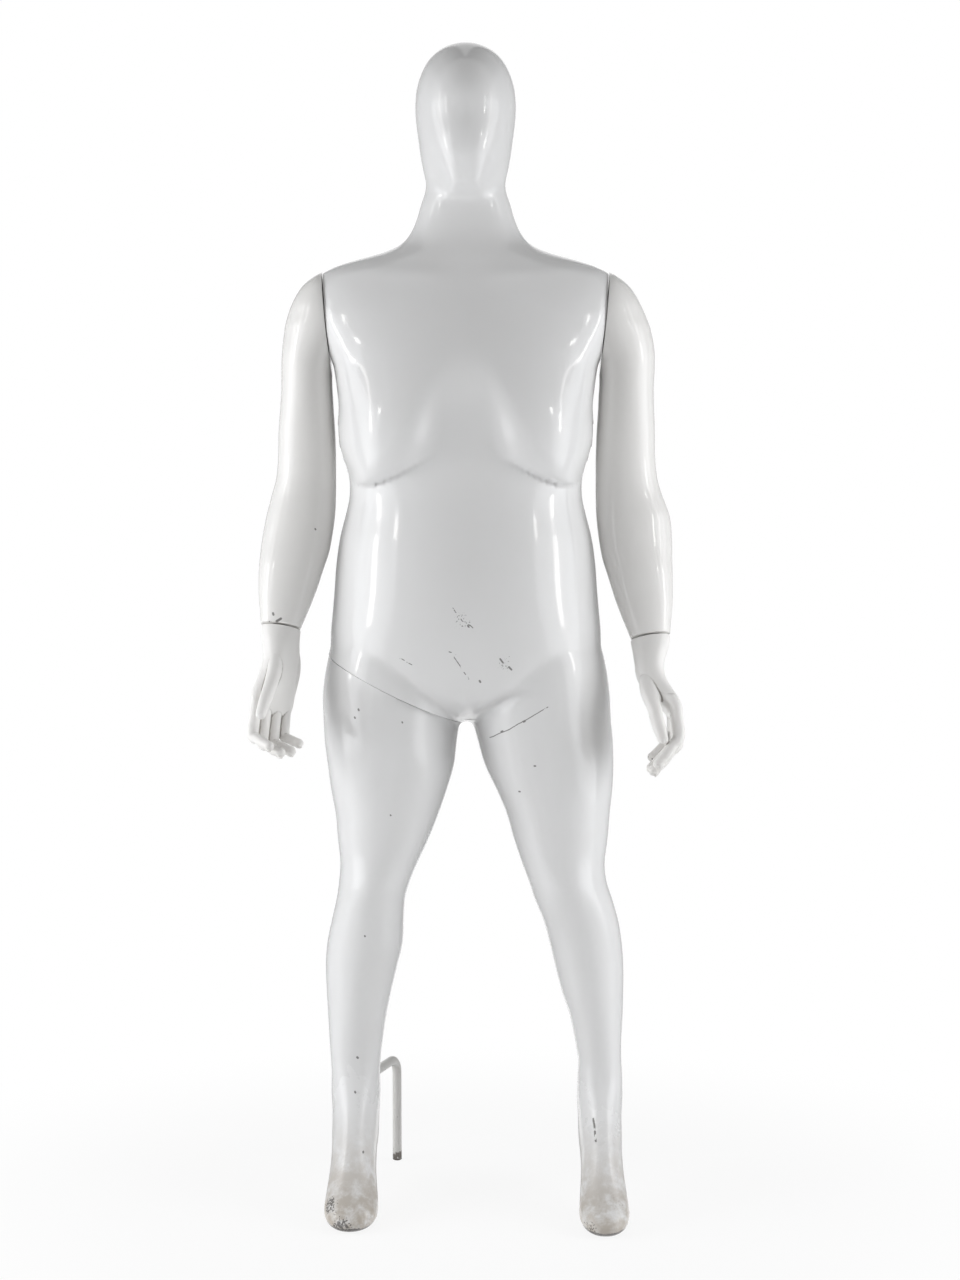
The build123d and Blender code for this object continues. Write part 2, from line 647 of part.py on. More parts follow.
def main():
    os.makedirs("parts", exist_ok=True)
    pelvis, hollow = trunk_form(), trunk_cavity()
    make_body(pelvis, hollow)
    make_right_leg(pelvis, hollow)
    make_arm("right", -1, 0)
    make_arm("left", 1, LEFT_ARM_DROP)
    make_hand("right", -1, 0, RIGHT_CURL, RIGHT_HAND_TURN)
    make_hand("left", 1, LEFT_ARM_DROP, LEFT_CURL, LEFT_HAND_TURN)


if __name__ == "__main__":
    main()
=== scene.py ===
from math import cos, exp, hypot, pi, radians, sin, sqrt, tan

import bmesh
import bpy
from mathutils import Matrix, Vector


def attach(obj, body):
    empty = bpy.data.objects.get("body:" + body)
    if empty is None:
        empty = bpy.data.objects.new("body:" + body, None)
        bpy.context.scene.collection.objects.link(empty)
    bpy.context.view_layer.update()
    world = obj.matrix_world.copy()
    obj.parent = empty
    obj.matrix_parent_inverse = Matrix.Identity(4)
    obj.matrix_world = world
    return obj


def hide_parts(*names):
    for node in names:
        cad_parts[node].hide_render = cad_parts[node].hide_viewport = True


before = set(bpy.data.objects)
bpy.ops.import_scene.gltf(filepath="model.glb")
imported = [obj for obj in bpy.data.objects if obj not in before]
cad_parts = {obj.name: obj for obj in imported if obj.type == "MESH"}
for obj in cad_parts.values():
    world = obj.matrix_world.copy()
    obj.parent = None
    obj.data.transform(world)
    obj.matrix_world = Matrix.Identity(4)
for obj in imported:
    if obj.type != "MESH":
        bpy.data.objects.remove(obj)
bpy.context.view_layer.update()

scene = bpy.context.scene
MM = 0.001

# ---------------- shapes, worked out in millimetres

# trunk, neck and head: height, half width, front, back, squareness
TRUNK = [
    (764, 10, -22, 20, 2.0),
    (772, 42, -64, 52, 2.0),
    (790, 92, -104, 88, 2.0),
    (815, 150, -132, 112, 2.1),
    (842, 192, -147, 122, 2.2),
    (868, 209, -155, 124, 2.3),
    (900, 211, -160, 119, 2.25),
    (935, 208, -161, 110, 2.12),
    (970, 205, -157, 102, 2.05),
    (1010, 202, -149, 95, 2.0),
    (1050, 196, -139, 91, 2.0),
    (1085, 187, -130, 92, 2.02),
    (1112, 181, -123, 95, 2.1),
    (1140, 181, -118, 99, 2.25),
    (1175, 188, -116, 105, 2.4),
    (1215, 194, -115, 111, 2.5),
    (1255, 197, -112, 116, 2.6),
    (1300, 202, -108, 122, 2.65),
    (1345, 209, -102, 124, 2.6),
    (1392, 213, -92, 119, 2.5),
    (1430, 217, -80, 110, 2.35),
    (1450, 220, -72, 104, 2.25),
    (1463, 208, -66, 98, 2.15),
    (1474, 176, -62, 93, 2.1),
    (1486, 132, -57, 88, 2.05),
    (1498, 103, -52, 83, 2.0),
    (1514, 87, -47, 76, 2.0),
    (1537, 76, -44, 69, 2.0),
    (1561, 69, -44, 64, 2.0),
    (1578, 63, -46, 62, 2.0),
    (1592, 61, -50, 64, 2.0),
    (1610, 65, -60, 70, 2.0),
    (1630, 69, -72, 79, 2.0),
    (1658, 73, -85, 91, 2.0),
    (1690, 77, -94, 101, 2.0),
    (1716, 77.5, -96, 104, 2.0),
    (1742, 73.5, -89, 99, 2.0),
    (1766, 64, -74, 87, 2.0),
    (1784, 51, -55, 69, 2.0),
    (1797, 32, -33, 47, 2.0),
    (1803.4, 12, -8, 22, 2.0),
]
# depth at which a trunk section's front half meets its back half
SPINE_Y = 8.0
# the leaning plane where an arm meets the trunk
SHOULDER = dict(x=213.0, z=1388.0, half_height=70.0, half_depth=58.0, lean=5.3)
# open seams, at the shoulders and the groin and then at the wrists
SEAM_GAP, WRIST_GAP = 1.8, 3.4
# a point on the seam of the removable leg, and its slope in degrees
GROIN = dict(x=-112.0, z=818.0, slope=26.5)

# legs: height, front, back, then centre from the midline and half width of the left leg and of the right
LEGS = [
    (968, -20, 76, 60, 22, 60, 22),
    (950, -70, 104, 82, 56, 82, 56),
    (925, -104, 128, 96, 82, 96, 82),
    (890, -126, 147, 107, 100, 107, 100),
    (850, -135, 156, 112, 107, 112, 107),
    (808, -137, 155, 114, 111, 113, 111),
    (768, -134, 145, 118, 109, 115, 108),
    (733, -130, 132, 124, 106, 117, 104),
    (695, -124, 119, 130, 101, 117, 99),
    (657, -117, 108, 138, 91, 120, 91),
    (619, -108, 97, 144, 81, 123, 81),
    (581, -99, 86, 148, 74, 129, 72),
    (542, -94, 77, 152, 65, 136, 61),
    (513, -92, 71, 159, 61, 143, 56),
    (485, -84, 69, 168, 61, 149, 54),
    (446, -71, 76, 181, 59, 155, 57),
    (408, -60, 86, 189, 57, 160, 60),
    (369, -50, 91, 195, 54, 166, 57),
    (331, -43, 88, 200, 49, 170, 52),
    (292, -36, 80, 206, 42, 173, 47),
    (253, -29, 70, 209, 37, 175, 43),
    (222, -25, 62, 212, 34, 176, 40),
]
LEFT_LEG = [(z, centre, half_width, front, back) for z, front, back, centre, half_width, _, _ in LEGS]
RIGHT_LEG = [(z, centre, half_width, front, back) for z, front, back, _, _, centre, half_width in LEGS]
LEG_TOP, ANKLE = 968.0, 222.0
# the left leg steps forward from here down, by this much at the ankle
STRIDE_TOP = 733.0
LEFT_STRIDE = 19.0
# foot, round the instep: step, back y and z, front y and z, half width
FOOT = [
    (0, 60, 200, -25, 212, 37),
    (1, 64, 168, -31, 190, 36),
    (2, 74, 132, -42, 168, 35),
    (3, 79, 103, -53, 152, 35.5),
    (4, 75, 82, -66, 137, 35.5),
    (5, 60, 71, -78, 123, 35),
    (6, 38, 65, -90, 110, 34),
    (7, 8, 56, -102, 95, 34),
    (8, -22, 43, -113, 81, 35),
    (9, -48, 26, -123, 69, 37),
    (10, -70, 9, -132, 59, 39),
    (11, -90, -3, -141, 50, 40.5),
    (12, -110, -5, -150, 42, 39.5),
    (13, -128, -5, -158, 34, 36),
    (14, -144, -4, -165, 27, 30),
    (15, -158, -1, -171, 20, 21),
    (16, -168, 4, -175, 14, 10),
]

# shoulder caps: height, outer x, half depth
CAP = [
    (1457.5, 222, 7.0),
    (1451, 234, 25.6),
    (1436, 252, 42.7),
    (1412, 267, 55.0),
    (1386, 276.5, 58.6),
    (1360, 282, 57.6),
    (1336, 284.6, 55.2),
    (1322, 285.5, 53.7),
    (1310, 286, 52.0),
]
# arms: inner x and z, outer x and z, centre y, half depth, forward lean
ARM = [
    (207, 1310, 286, 1310, 9, 52, 0),
    (206, 1280, 286, 1280, 11, 50.5, 0),
    (205, 1250, 288, 1250, 13, 49, 0),
    (203, 1215, 291, 1214, 14.5, 47.5, 0),
    (202, 1180, 292, 1178, 15, 46, 0),
    (202, 1148, 295, 1143, 14.5, 45.5, 2),
    (202, 1118, 303, 1112, 12, 46, 6),
    (203, 1088, 310, 1082, 6, 46.5, 13),
    (206, 1060, 315, 1053, -3, 45, 18),
    (211, 1030, 317.5, 1028, -14, 42, 20),
    (219, 1004, 319, 1006, -25, 39, 20),
    (228, 975, 319, 981, -36, 34.5, 20),
    (237, 950, 317.5, 958, -46, 30.5, 20),
    (246, 928, 315, 937, -54, 27.5, 20),
    (253, 911, 313, 919, -60, 25, 20),
    (256, 902, 311, 911, -63, 24, 20),
]
LEFT_ARM_DROP = 15.0
# the left arm is a little fuller on its outer side: height and amount
LEFT_ARM_FULLER = [
    (980, 0), (1010, 1.5), (1050, 6), (1080, 9), (1120, 5), (1180, 2.5), (1240, 4), (1290, 6), (1330, 8),
    (1360, 7), (1386, 3.5), (1412, 1), (1460, 0),
]
# the left arm hangs lower: its length is stretched between these heights
DROP_TOP, DROP_END = 1300.0, 911.0
ARMPIT = 1311.0


def through(rows, at):
    """The row at a height, on a smooth curve through a table's rows."""
    rows = sorted(rows)
    at = min(max(at, rows[0][0]), rows[-1][0])
    i = max(k for k in range(len(rows) - 1) if rows[k][0] <= at)
    low, high = rows[i], rows[i + 1]
    before = rows[max(i - 1, 0)]
    after = rows[min(i + 2, len(rows) - 1)]
    span = high[0] - low[0]
    t = (at - low[0]) / span
    out = [at]
    for k in range(1, len(low)):
        tan_low = (high[k] - before[k]) / (high[0] - before[0]) * span
        tan_high = (after[k] - low[k]) / (after[0] - low[0]) * span
        out.append((2 * t**3 - 3 * t**2 + 1) * low[k] + (t**3 - 2 * t**2 + t) * tan_low
                   + (3 * t**2 - 2 * t**3) * high[k] + (t**3 - t**2) * tan_high)
    return out


def swell(x, centre, width):
    """A soft bump of height one."""
    return exp(-(((x - centre) / width) ** 2))


def ease(low, high, x):
    """Zero below low, one above high, and a smooth step between."""
    t = min(max((x - low) / (high - low), 0.0), 1.0)
    return t * t * (3 - 2 * t)


def power(value, exponent):
    """A power that keeps its sign."""
    return abs(value) ** exponent if value > 0 else -(abs(value) ** exponent)


def oval(count, half_width, front, back, square, middle):
    """Points of a rounded section, fuller at the corners where square is above two."""
    points = []
    for i in range(count):
        turn = 2 * pi * i / count
        depth = back - middle if sin(turn) > 0 else middle - front
        points.append((half_width * power(cos(turn), 2 / square),
                       middle + depth * power(sin(turn), 2 / square)))
    return points


def steps(low, high, pitch):
    """Even stations from low to high, about a pitch apart."""
    count = max(2, round(abs(high - low) / pitch))
    return [low + (high - low) * i / count for i in range(count + 1)]


def shoulder_x(z):
    """Where the leaning shoulder plane stands at a height."""
    return SHOULDER["x"] + (z - SHOULDER["z"]) * tan(radians(SHOULDER["lean"]))


def shoulder_half_depth(z):
    """Half depth of the oval that trunk and arm share at the shoulder plane."""
    rise = (z - SHOULDER["z"]) / SHOULDER["half_height"]
    return SHOULDER["half_depth"] * sqrt(max(0.0, 1 - rise * rise))


BUST_CREASE = [(0, 1190), (30, 1182), (60, 1169), (82, 1157.5), (116, 1140.5), (145, 1130.5), (168, 1131),
               (187, 1150), (206, 1182)]
BUST_DEPTH = 34.0


def bust_crease(x):
    """Height of the fold under one breast, out from the midline."""
    return through(BUST_CREASE, abs(x))[1]


def bust(x, z):
    """How far a breast stands out of the chest, with a tight fold low on its outer side."""
    rise = z - bust_crease(x)
    if rise <= 0:
        return 0.0
    fold = 44 + 110 * (1 - ease(15, 135, abs(x)))
    full = min(1.0, rise / fold)
    soft = ease(35, 95, abs(x))
    lower = soft * sqrt(1 - (1 - full) ** 2) + (1 - soft) * full * full * (3 - 2 * full)
    upper = 1 - ease(70, 250, rise)
    across = (0.80 + 0.20 * ease(0, 120, abs(x))) * (1 - 0.62 * ease(130, 214, abs(x)))
    return BUST_DEPTH * lower * upper * across


def hollow(x, z, line, width, fade):
    """Strength of a soft groove along a line in the front view, dying away at its far end."""
    best, along = 1e9, 0.0
    for i in range(len(line) - 1):
        (ax, az), (bx, bz) = line[i], line[i + 1]
        run, rise = bx - ax, bz - az
        t = min(1.0, max(0.0, ((x - ax) * run + (z - az) * rise) / (run * run + rise * rise)))
        away = hypot(x - ax - t * run, z - az - t * rise)
        if away < best:
            best, along = away, (i + t) / (len(line) - 1)
    return exp(-((best / width) ** 2)) * (1 - ease(fade, 1.0, along))


# the fold where the belly meets the left thigh: x and z
LEFT_CREASE = [(6, 776), (37, 799), (67, 813), (97, 825), (128, 834)]


def sculpt_front(bm):
    """Breasts, and the fold where the belly meets the left thigh, pressed into the finished skin."""
    for vert in bm.verts:
        x, y, z = (c / MM for c in vert.co)
        if y < -20 and 1100 < z < 1460 and abs(x) < 215:
            facing = min(1.0, max(0.0, (-20 - y) / 50))
            y -= bust(x, z) * facing * facing * (3 - 2 * facing)
            # the side of a breast stands a little out of the flank
            x *= 1 + 0.03 * swell(z, bust_crease(x) + 44, 34) * ease(150, 190, abs(x)) * (1 - 0.7 * facing)
        if y < -60 and 740 < z < 900 and -5 < x < 175:
            y += 5.5 * hollow(x, z, LEFT_CREASE, 7.5, 0.45)
            y -= 3.5 * hollow(x, z - 22, LEFT_CREASE, 20, 0.4)
        vert.co = Vector((x, y, z)) * MM


def trunk_ring(z, count=96):
    """A level section of the trunk, neck or head."""
    z, half_width, front, back, square = through(TRUNK, z)
    share = min(0.85, 2 * shoulder_half_depth(z) / (back - front))
    if share > 0:
        half_width = shoulder_x(z) / (1 - share**square) ** (1 / square)
    points = []
    for x, y in oval(count, half_width, front, back, square, SPINE_Y):
        facing = max(0.0, (SPINE_Y - y) / (SPINE_Y - front))
        behind = max(0.0, (y - SPINE_Y) / (back - SPINE_Y))
        if z > 1450:
            # face: two ridges sweep in from the cheeks to a small chin
            width = 32 + max(0.0, z - 1583) * 0.52
            chin = 28 * exp(-((abs(x) / width) ** 4.2)) * ease(1560, 1588, z)
            y -= facing * chin * (1 - ease(1606, 1700, z))
        # groove of the spine, the cleft, the blades and the collar bones
        y -= behind * 7 * swell(x, 0, 16) * ease(985, 1080, z) * (1 - ease(1380, 1450, z))
        y -= behind * 34 * swell(x, 0, 18) * (1 - ease(860, 955, z))
        y += behind * 7 * swell(abs(x), 92, 46) * swell(z, 1335, 60)
        collar = swell(z, 1448 + 0.05 * abs(x), 12) * ease(22, 60, abs(x)) * (1 - ease(130, 185, abs(x)))
        y -= facing * 3.5 * collar
        points.append(Vector((x, y, z)) * MM)
    return points


def leg_ring(rows, side, z, stride, count=80):
    """A level section of a leg."""
    z, centre, half_width, front, back = through(rows, z)
    ahead = stride * min(1.0, max(0.0, (STRIDE_TOP - z) / (STRIDE_TOP - ANKLE)))
    points = []
    for x, y in oval(count, half_width, front, back, 2.08, (front + back) / 2):
        lean = (y - (front + back) / 2) / (back - front) * 2
        # kneecap, shin and the two bellies of the calf
        y -= 6 * swell(x, 4 * side, 30) * swell(z, 520, 34) * max(0.0, -lean)
        y -= 3 * swell(x, 2 * side, 17) * swell(z, 350, 110) * max(0.0, -lean)
        y -= 2.5 * swell(x, 0, 12) * swell(z, 372, 70) * max(0.0, lean)
        points.append(Vector((side * centre + x, y - ahead, z)) * MM)
    return points


def foot_ring(step, centre, stride, widen, count=80):
    """A section of a foot, square to the instep, with its sole kept on the floor."""
    step, back_y, back_z, front_y, front_z, half_width = through(FOOT, step)
    half = hypot(back_y - front_y, back_z - front_z) / 2
    along = Vector((0, back_y - front_y, back_z - front_z)) / (2 * half)
    middle = Vector((0, (back_y + front_y) / 2 - stride, (back_z + front_z) / 2))
    points = []
    for x, y in oval(count, half_width * widen, -half, half, 2.15, 0):
        # the ankle bones stand out a little, low on the joint
        x *= 1 + 0.07 * swell(step, 1.6, 0.9) * swell(y / half, 0.05, 0.35)
        place = middle + along * y + Vector((centre + x, 0, 0))
        place.z = max(place.z, 0.0)
        points.append(place * MM)
    return points


def dropped(z, drop):
    """A height on an arm that hangs lower by an amount."""
    return z - drop * min(1.0, max(0.0, (DROP_TOP - z) / (DROP_TOP - DROP_END)))


def cap_ring(z, side, count=72):
    """A level section of the shoulder cap, which meets the trunk's oval at the shoulder plane."""
    z, outer, half_depth = through(CAP, z)
    outer += through(LEFT_ARM_FULLER, z)[1] if side > 0 else 0.0
    at_cut = shoulder_half_depth(z)
    half_depth = max(half_depth, at_cut + 0.3)
    share = sqrt(max(0.0, 1 - (at_cut / half_depth) ** 2))
    centre = (shoulder_x(z) + share * outer) / (1 + share)
    flat = oval(count, outer - centre, -half_depth, half_depth, 2.0, 0)
    return [Vector((side * (centre + x), SPINE_Y + y, z)) * MM for x, y in flat]


def arm_ring(step, side, drop, count=72):
    """A section of an arm, tilted as its rows say."""
    rows = [(i,) + row for i, row in enumerate(ARM)]
    _, inner_x, inner_z, outer_x, outer_z, y, half_depth, lean = through(rows, step)
    inner_z, outer_z = dropped(inner_z, drop), dropped(outer_z, drop)
    half = hypot(outer_x - inner_x, outer_z - inner_z) / 2
    points = []
    fuller = through(LEFT_ARM_FULLER, outer_z)[1] if side > 0 else 0.0
    for along, deep in oval(count, half, -half_depth, half_depth, 2.0 + 0.1 * ease(0, 4, step), 0):
        # point of the elbow, and the muscle of the forearm
        deep += 4 * swell(step, 7.0, 1.0) * swell(along, 6, 18) * max(0.0, deep / half_depth)
        x = (inner_x + outer_x) / 2 + along / half * (outer_x - inner_x) / 2
        x += fuller * (along + half) / (2 * half)
        z = (inner_z + outer_z) / 2 + along / half * (outer_z - inner_z) / 2
        tilt = radians(lean)
        points.append(Vector((side * x, y + deep * cos(tilt), z - deep * sin(tilt))) * MM)
    return points


# ---------------- making meshes

def skin(rings):
    """A closed tube through rings of equal count."""
    count, last = len(rings[0]), len(rings) - 1
    bm = bmesh.new()
    bmesh.ops.create_grid(bm, x_segments=count, y_segments=last, size=1.0)
    for vert in bm.verts:
        i = round((vert.co.x + 1) / 2 * count) % count
        j = round((vert.co.y + 1) / 2 * last)
        vert.co = rings[j][i]
    bmesh.ops.remove_doubles(bm, verts=bm.verts, dist=1e-7)
    rims = [edge for edge in bm.edges if edge.is_boundary]
    bmesh.ops.edgeloop_fill(bm, edges=rims)
    bmesh.ops.recalc_face_normals(bm, faces=bm.faces)
    return bm


def merged(parts):
    """One bmesh that holds all the shapes of a list."""
    whole = bmesh.new()
    for part in parts:
        mesh = bpy.data.meshes.new("part")
        part.to_mesh(mesh)
        part.free()
        whole.from_mesh(mesh)
        bpy.data.meshes.remove(mesh)
    return whole


def thing(name, bm, smooth=True):
    """An object in the scene, from a bmesh that is then freed."""
    mesh = bpy.data.meshes.new(name)
    bm.to_mesh(mesh)
    bm.free()
    obj = bpy.data.objects.new(name, mesh)
    scene.collection.objects.link(obj)
    if smooth:
        mesh.shade_smooth()
    return obj


def blended(name, parts, voxel, rounds):
    """Overlapping shapes run into one skin of small cells, then smoothed for some rounds."""
    obj = thing(name, merged(parts))
    remesh = obj.modifiers.new("one_skin", "REMESH")
    remesh.mode = "VOXEL"
    remesh.voxel_size = voxel * MM
    soften = obj.modifiers.new("soften", "SMOOTH")
    soften.factor = 0.5
    soften.iterations = rounds
    graph = bpy.context.evaluated_depsgraph_get()
    bm = bmesh.new()
    bm.from_object(obj, graph)
    bpy.data.objects.remove(obj)
    return bm


# material slot of a cut end, near black, which also paints the shade inside the open seams; a rim may also
# take what lies beside it
RAW_AND_SEAM_SHADE, AS_BESIDE = 1, -1
# how far the rim of each cut is eased
SHOULDER_RIM, WRIST_RIM, PELVIS_RIM, THIGH_RIM = 0.9, 1.0, 2.2, 2.5


def cut(bm, point, normal, beyond, bevel, rim=RAW_AND_SEAM_SHADE):
    """Cuts a shape at a plane and takes away what the test names. The cut is closed raw and its rim eased; a
    rim that keeps the cut end's dark finish is painted shade along the seam.
    """
    geom = list(bm.verts) + list(bm.edges) + list(bm.faces)
    bmesh.ops.bisect_plane(bm, geom=geom, dist=1e-6, plane_co=point, plane_no=normal)
    gone = [face for face in bm.faces if beyond(face.calc_center_median())]
    bmesh.ops.delete(bm, geom=gone, context="FACES")
    rims = [edge for edge in bm.edges if edge.is_boundary]
    lid = bmesh.ops.edgeloop_fill(bm, edges=rims)["faces"]
    for face in lid:
        face.smooth = False
        face.material_index = RAW_AND_SEAM_SHADE
    bmesh.ops.bevel(bm, geom=rims, offset=bevel * MM, segments=2, profile=0.5, affect="EDGES",
                    material=rim, clamp_overlap=True)
    bmesh.ops.recalc_face_normals(bm, faces=bm.faces)


def shoulder_frame(side):
    """The middle of the shoulder plane and its outward direction."""
    lean = radians(SHOULDER["lean"])
    return (Vector((side * SHOULDER["x"], SPINE_Y, SHOULDER["z"])) * MM,
            Vector((side * cos(lean), 0, -sin(lean))))


def wrist_frame(side, drop):
    """The middle of the wrist cut, and the hand's directions: down, across and deep."""
    inner_x, inner_z, outer_x, outer_z, y, _, lean = ARM[-2]
    inner_z, outer_z = dropped(inner_z, drop), dropped(outer_z, drop)
    across = Vector((side * (outer_x - inner_x), 0, outer_z - inner_z)).normalized()
    deep = Vector((0, cos(radians(lean)), -sin(radians(lean))))
    down = across.cross(deep) * -side
    middle = Vector((side * (inner_x + outer_x) / 2, y, (inner_z + outer_z) / 2)) * MM
    return middle, down.normalized(), across, deep


def groin_frame():
    """A point on the seam of the removable leg, and the direction down from it."""
    slope = radians(GROIN["slope"])
    return Vector((GROIN["x"], 4, GROIN["z"])) * MM, Vector((-sin(slope), 0, -cos(slope)))


# ---------------- head, trunk and legs

def leg_tube(rows, side, stride, widen):
    """A leg and its foot as one closed tube."""
    centre = side * rows[-1][1]
    rings = [leg_ring(rows, side, z, stride) for z in steps(LEG_TOP, ANKLE, 7)]
    rings += [foot_ring(step, centre, stride, widen) for step in steps(0.35, len(FOOT) - 1, 0.22)]
    return skin(rings)


def whole_figure():
    """Head, trunk and both legs as one skin."""
    trunk = skin([trunk_ring(z) for z in steps(TRUNK[0][0], TRUNK[-1][0], 6)])
    legs = [leg_tube(LEFT_LEG, 1, LEFT_STRIDE, 0.96), leg_tube(RIGHT_LEG, -1, 0, 1.04)]
    figure = blended("figure", [trunk] + legs, 4.4, 9)
    sculpt_front(figure)
    return figure


GROIN_AT, GROIN_DOWN = groin_frame()
GAP = SEAM_GAP * MM
# the right leg and its seam lie on this side of the midline
RIGHT_OF = -0.002


def below_groin(at, offset):
    """Whether a point belongs to the removable leg, with the seam set down by an offset."""
    return (at - GROIN_AT).dot(GROIN_DOWN) > offset and at.x < RIGHT_OF


def body_skin(figure):
    """The figure without its right leg and its arms."""
    cut(figure, GROIN_AT, GROIN_DOWN, lambda c: below_groin(c, 0), PELVIS_RIM, AS_BESIDE)
    # the shoulder cuts leave their rims as dark as the cut end: painted shade along the seams
    for side in (-1, 1):
        at, out = shoulder_frame(side)
        cut(figure, at, out, lambda c: (c - at).dot(out) > 0 and c.z > ARMPIT * MM, SHOULDER_RIM)
    return thing("body_skin", figure)


def right_leg_skin(figure):
    """The removable leg. Its top sits inside the pelvis in front, and about flush at the hip."""
    # set back by 1 mm, and by up to 10 mm in front, which dies out 85 mm below the seam
    for vert in figure.verts:
        below = (vert.co - GROIN_AT).dot(GROIN_DOWN)
        if vert.co.x < RIGHT_OF and below > -0.004:
            middle = Vector((GROIN_AT.x, GROIN_AT.y, vert.co.z))
            inward = (middle - vert.co).normalized()
            front = ease(0.02, 0.11, -vert.co.y) * (1 - 0.85 * ease(0.150, 0.205, -vert.co.x))
            vert.co += inward * (0.001 + 0.009 * front) * (1 - ease(0.0, 0.085, below))
    seam = GROIN_AT + GROIN_DOWN * GAP
    cut(figure, seam, GROIN_DOWN, lambda c: not below_groin(c, GAP), THIGH_RIM, AS_BESIDE)
    return thing("right_leg_skin", figure)


figure = whole_figure()
right_part = figure.copy()
body = body_skin(figure)
right_leg = right_leg_skin(right_part)


# ---------------- arms

def arm_skin(name, side, drop):
    """An arm from its shoulder plane to its wrist cut."""
    rings = [cap_ring(z, side) for z in steps(CAP[0][0], CAP[-2][0], 5)]
    rings += [arm_ring(step, side, drop) for step in steps(0, len(ARM) - 1, 0.22)]
    bm = skin(rings)
    # the shoulder cap runs softly into the arm
    join = [vert for vert in bm.verts if 1.27 < vert.co.z < 1.37]
    for _ in range(10):
        bmesh.ops.smooth_vert(bm, verts=join, factor=0.5, use_axis_x=True, use_axis_y=True, use_axis_z=False)
    # both cuts of an arm leave their rims as dark as the cut end: painted shade along the shoulder and wrist
    # seams
    at, out = shoulder_frame(side)
    start = at + out * GAP
    cut(bm, start, out, lambda c: (c - start).dot(out) < 0, SHOULDER_RIM)
    wrist, down, _, _ = wrist_frame(side, drop)
    cut(bm, wrist, down, lambda c: (c - wrist).dot(down) > 0, WRIST_RIM)
    return thing(name, bm)


left_arm = arm_skin("left_arm_skin", 1, LEFT_ARM_DROP)
right_arm = arm_skin("right_arm_skin", -1, 0)


# ---------------- hands

# palm: distance down from the wrist, half width, palm side, back, shift to the thumb
PALM = [
    (-8, 29.5, -25, 24.5, 0),
    (18, 28.8, -25, 23.5, 0),
    (36, 28.6, -24, 22, 0),
    (54, 28.6, -23, 20.5, 0.5),
    (72, 30.5, -21.5, 18.8, 1),
    (90, 34.5, -19, 17, 1),
    (106, 38, -16, 15, 1),
    (117, 38.5, -13, 12.8, 1),
    (126, 36, -9.5, 9.5, 1),
    (132, 31, -6, 6, 1),
]
# the wrist takes the section of the arm's end: half width and half depth
WRIST_SECTION = (30.2, 24.9)
# fingers: knuckle across and down, bone lengths, radius at knuckle and tip, bends, splay
RIGHT_FINGERS = [
    (29.1, 116, (54, 30.1, 17.5), 9.6, 7.9, (5, 60, 5), 1),
    (10.5, 119, (57, 32.0, 18.4), 9.8, 8.1, (6, 61, 5), 0.5),
    (-8.6, 117, (55, 30.1, 17.5), 9.5, 7.9, (7, 62, 5), -0.5),
    (-26.7, 111, (48, 24.4, 14.7), 8.8, 7.2, (8, 62, 6), -1),
]
LEFT_FINGERS = [
    (31, 117, (46, 32, 19), 10.4, 8.6, (4, 40, 5), 1),
    (11.2, 120, (49, 34, 20), 10.6, 8.8, (6, 41, 5), 0.5),
    (-9.1, 118, (47, 32, 19), 10.3, 8.6, (8, 42, 5), -0.5),
    (-28.4, 112, (40, 26, 16), 9.5, 7.8, (10, 42, 6), -1),
]
# thumbs: across, deep, down, radius
RIGHT_THUMB = [(12, -2, 20, 7), (15, -7, 42, 10), (19, -12, 64, 11.2), (23, -18, 86, 10.6),
               (29, -23, 106, 9.8), (35, -27, 125, 9.2), (39, -28, 143, 8.0)]
LEFT_THUMB = [(12, -2, 50, 8), (18, -9, 70, 12), (26, -20, 90, 13.5), (33, -29, 106, 12), (37, -32, 121, 11),
              (39, -31.5, 136, 10.6), (39, -29.5, 150, 10.2), (39, -27, 164, 9.0)]
# how far a hand swings out from the line of its arm: distance down and amount
LEFT_SWING = [(-10, 0), (18, -2), (36, -5.5), (54, -8), (70, -6), (88, 2), (106, 12), (122, 18), (136, 18.5)]
RIGHT_SWING = [(-10, 0), (18, -2), (36, -5.5), (54, -8), (72, -8.5), (92, -7), (112, -5.5), (130, -5)]
LEFT_STRETCH, RIGHT_STRETCH = 1.025, 1.05
# how far each palm is turned in from the side, in degrees
LEFT_HAND_TURN, RIGHT_HAND_TURN = 92, 45
# heel of the hand: across, deep, along, radius
HEEL = [(-10, -2, -10, 8), (-16, -5, -30, 12), (-19, -6, -52, 12.5), (-23, -5, -76, 10.5), (-28, -2, -100, 8)]


def limb(points, flatten=1.0):
    """A round tapering form through centres and radii, with a domed tip."""
    centres = [Vector(p[:3]) for p in points]
    reach = (centres[-1] - centres[-2]).normalized() * points[-1][3]
    rings = []
    rows = [(i, *centres[i], points[i][3]) for i in range(len(points))]
    stations = [through(rows, k) for k in steps(0, len(points) - 1, 0.12)]
    for i, (_, x, y, z, radius) in enumerate(stations):
        after, before = stations[min(i + 1, len(stations) - 1)], stations[max(i - 1, 0)]
        ahead = Vector(after[1:4]) - Vector(before[1:4])
        rings.append((Vector((x, y, z)), ahead.normalized(), radius))
    for k in range(1, 7):
        angle = k / 6 * radians(86)
        rings.append((centres[-1] + reach * sin(angle), reach.normalized(), points[-1][3] * cos(angle)))
    loops = []
    for centre, way, radius in rings:
        across = Vector((1, 0, 0)) - way * way.x
        if across.length < 0.3:
            across = Vector((0, 1, 0)) - way * way.y
        across.normalize()
        up = way.cross(across)
        loops.append([(centre + (across * cos(t) + up * sin(t) * flatten) * radius) * MM
                      for t in [2 * pi * k / 24 for k in range(24)]])
    return skin(loops)


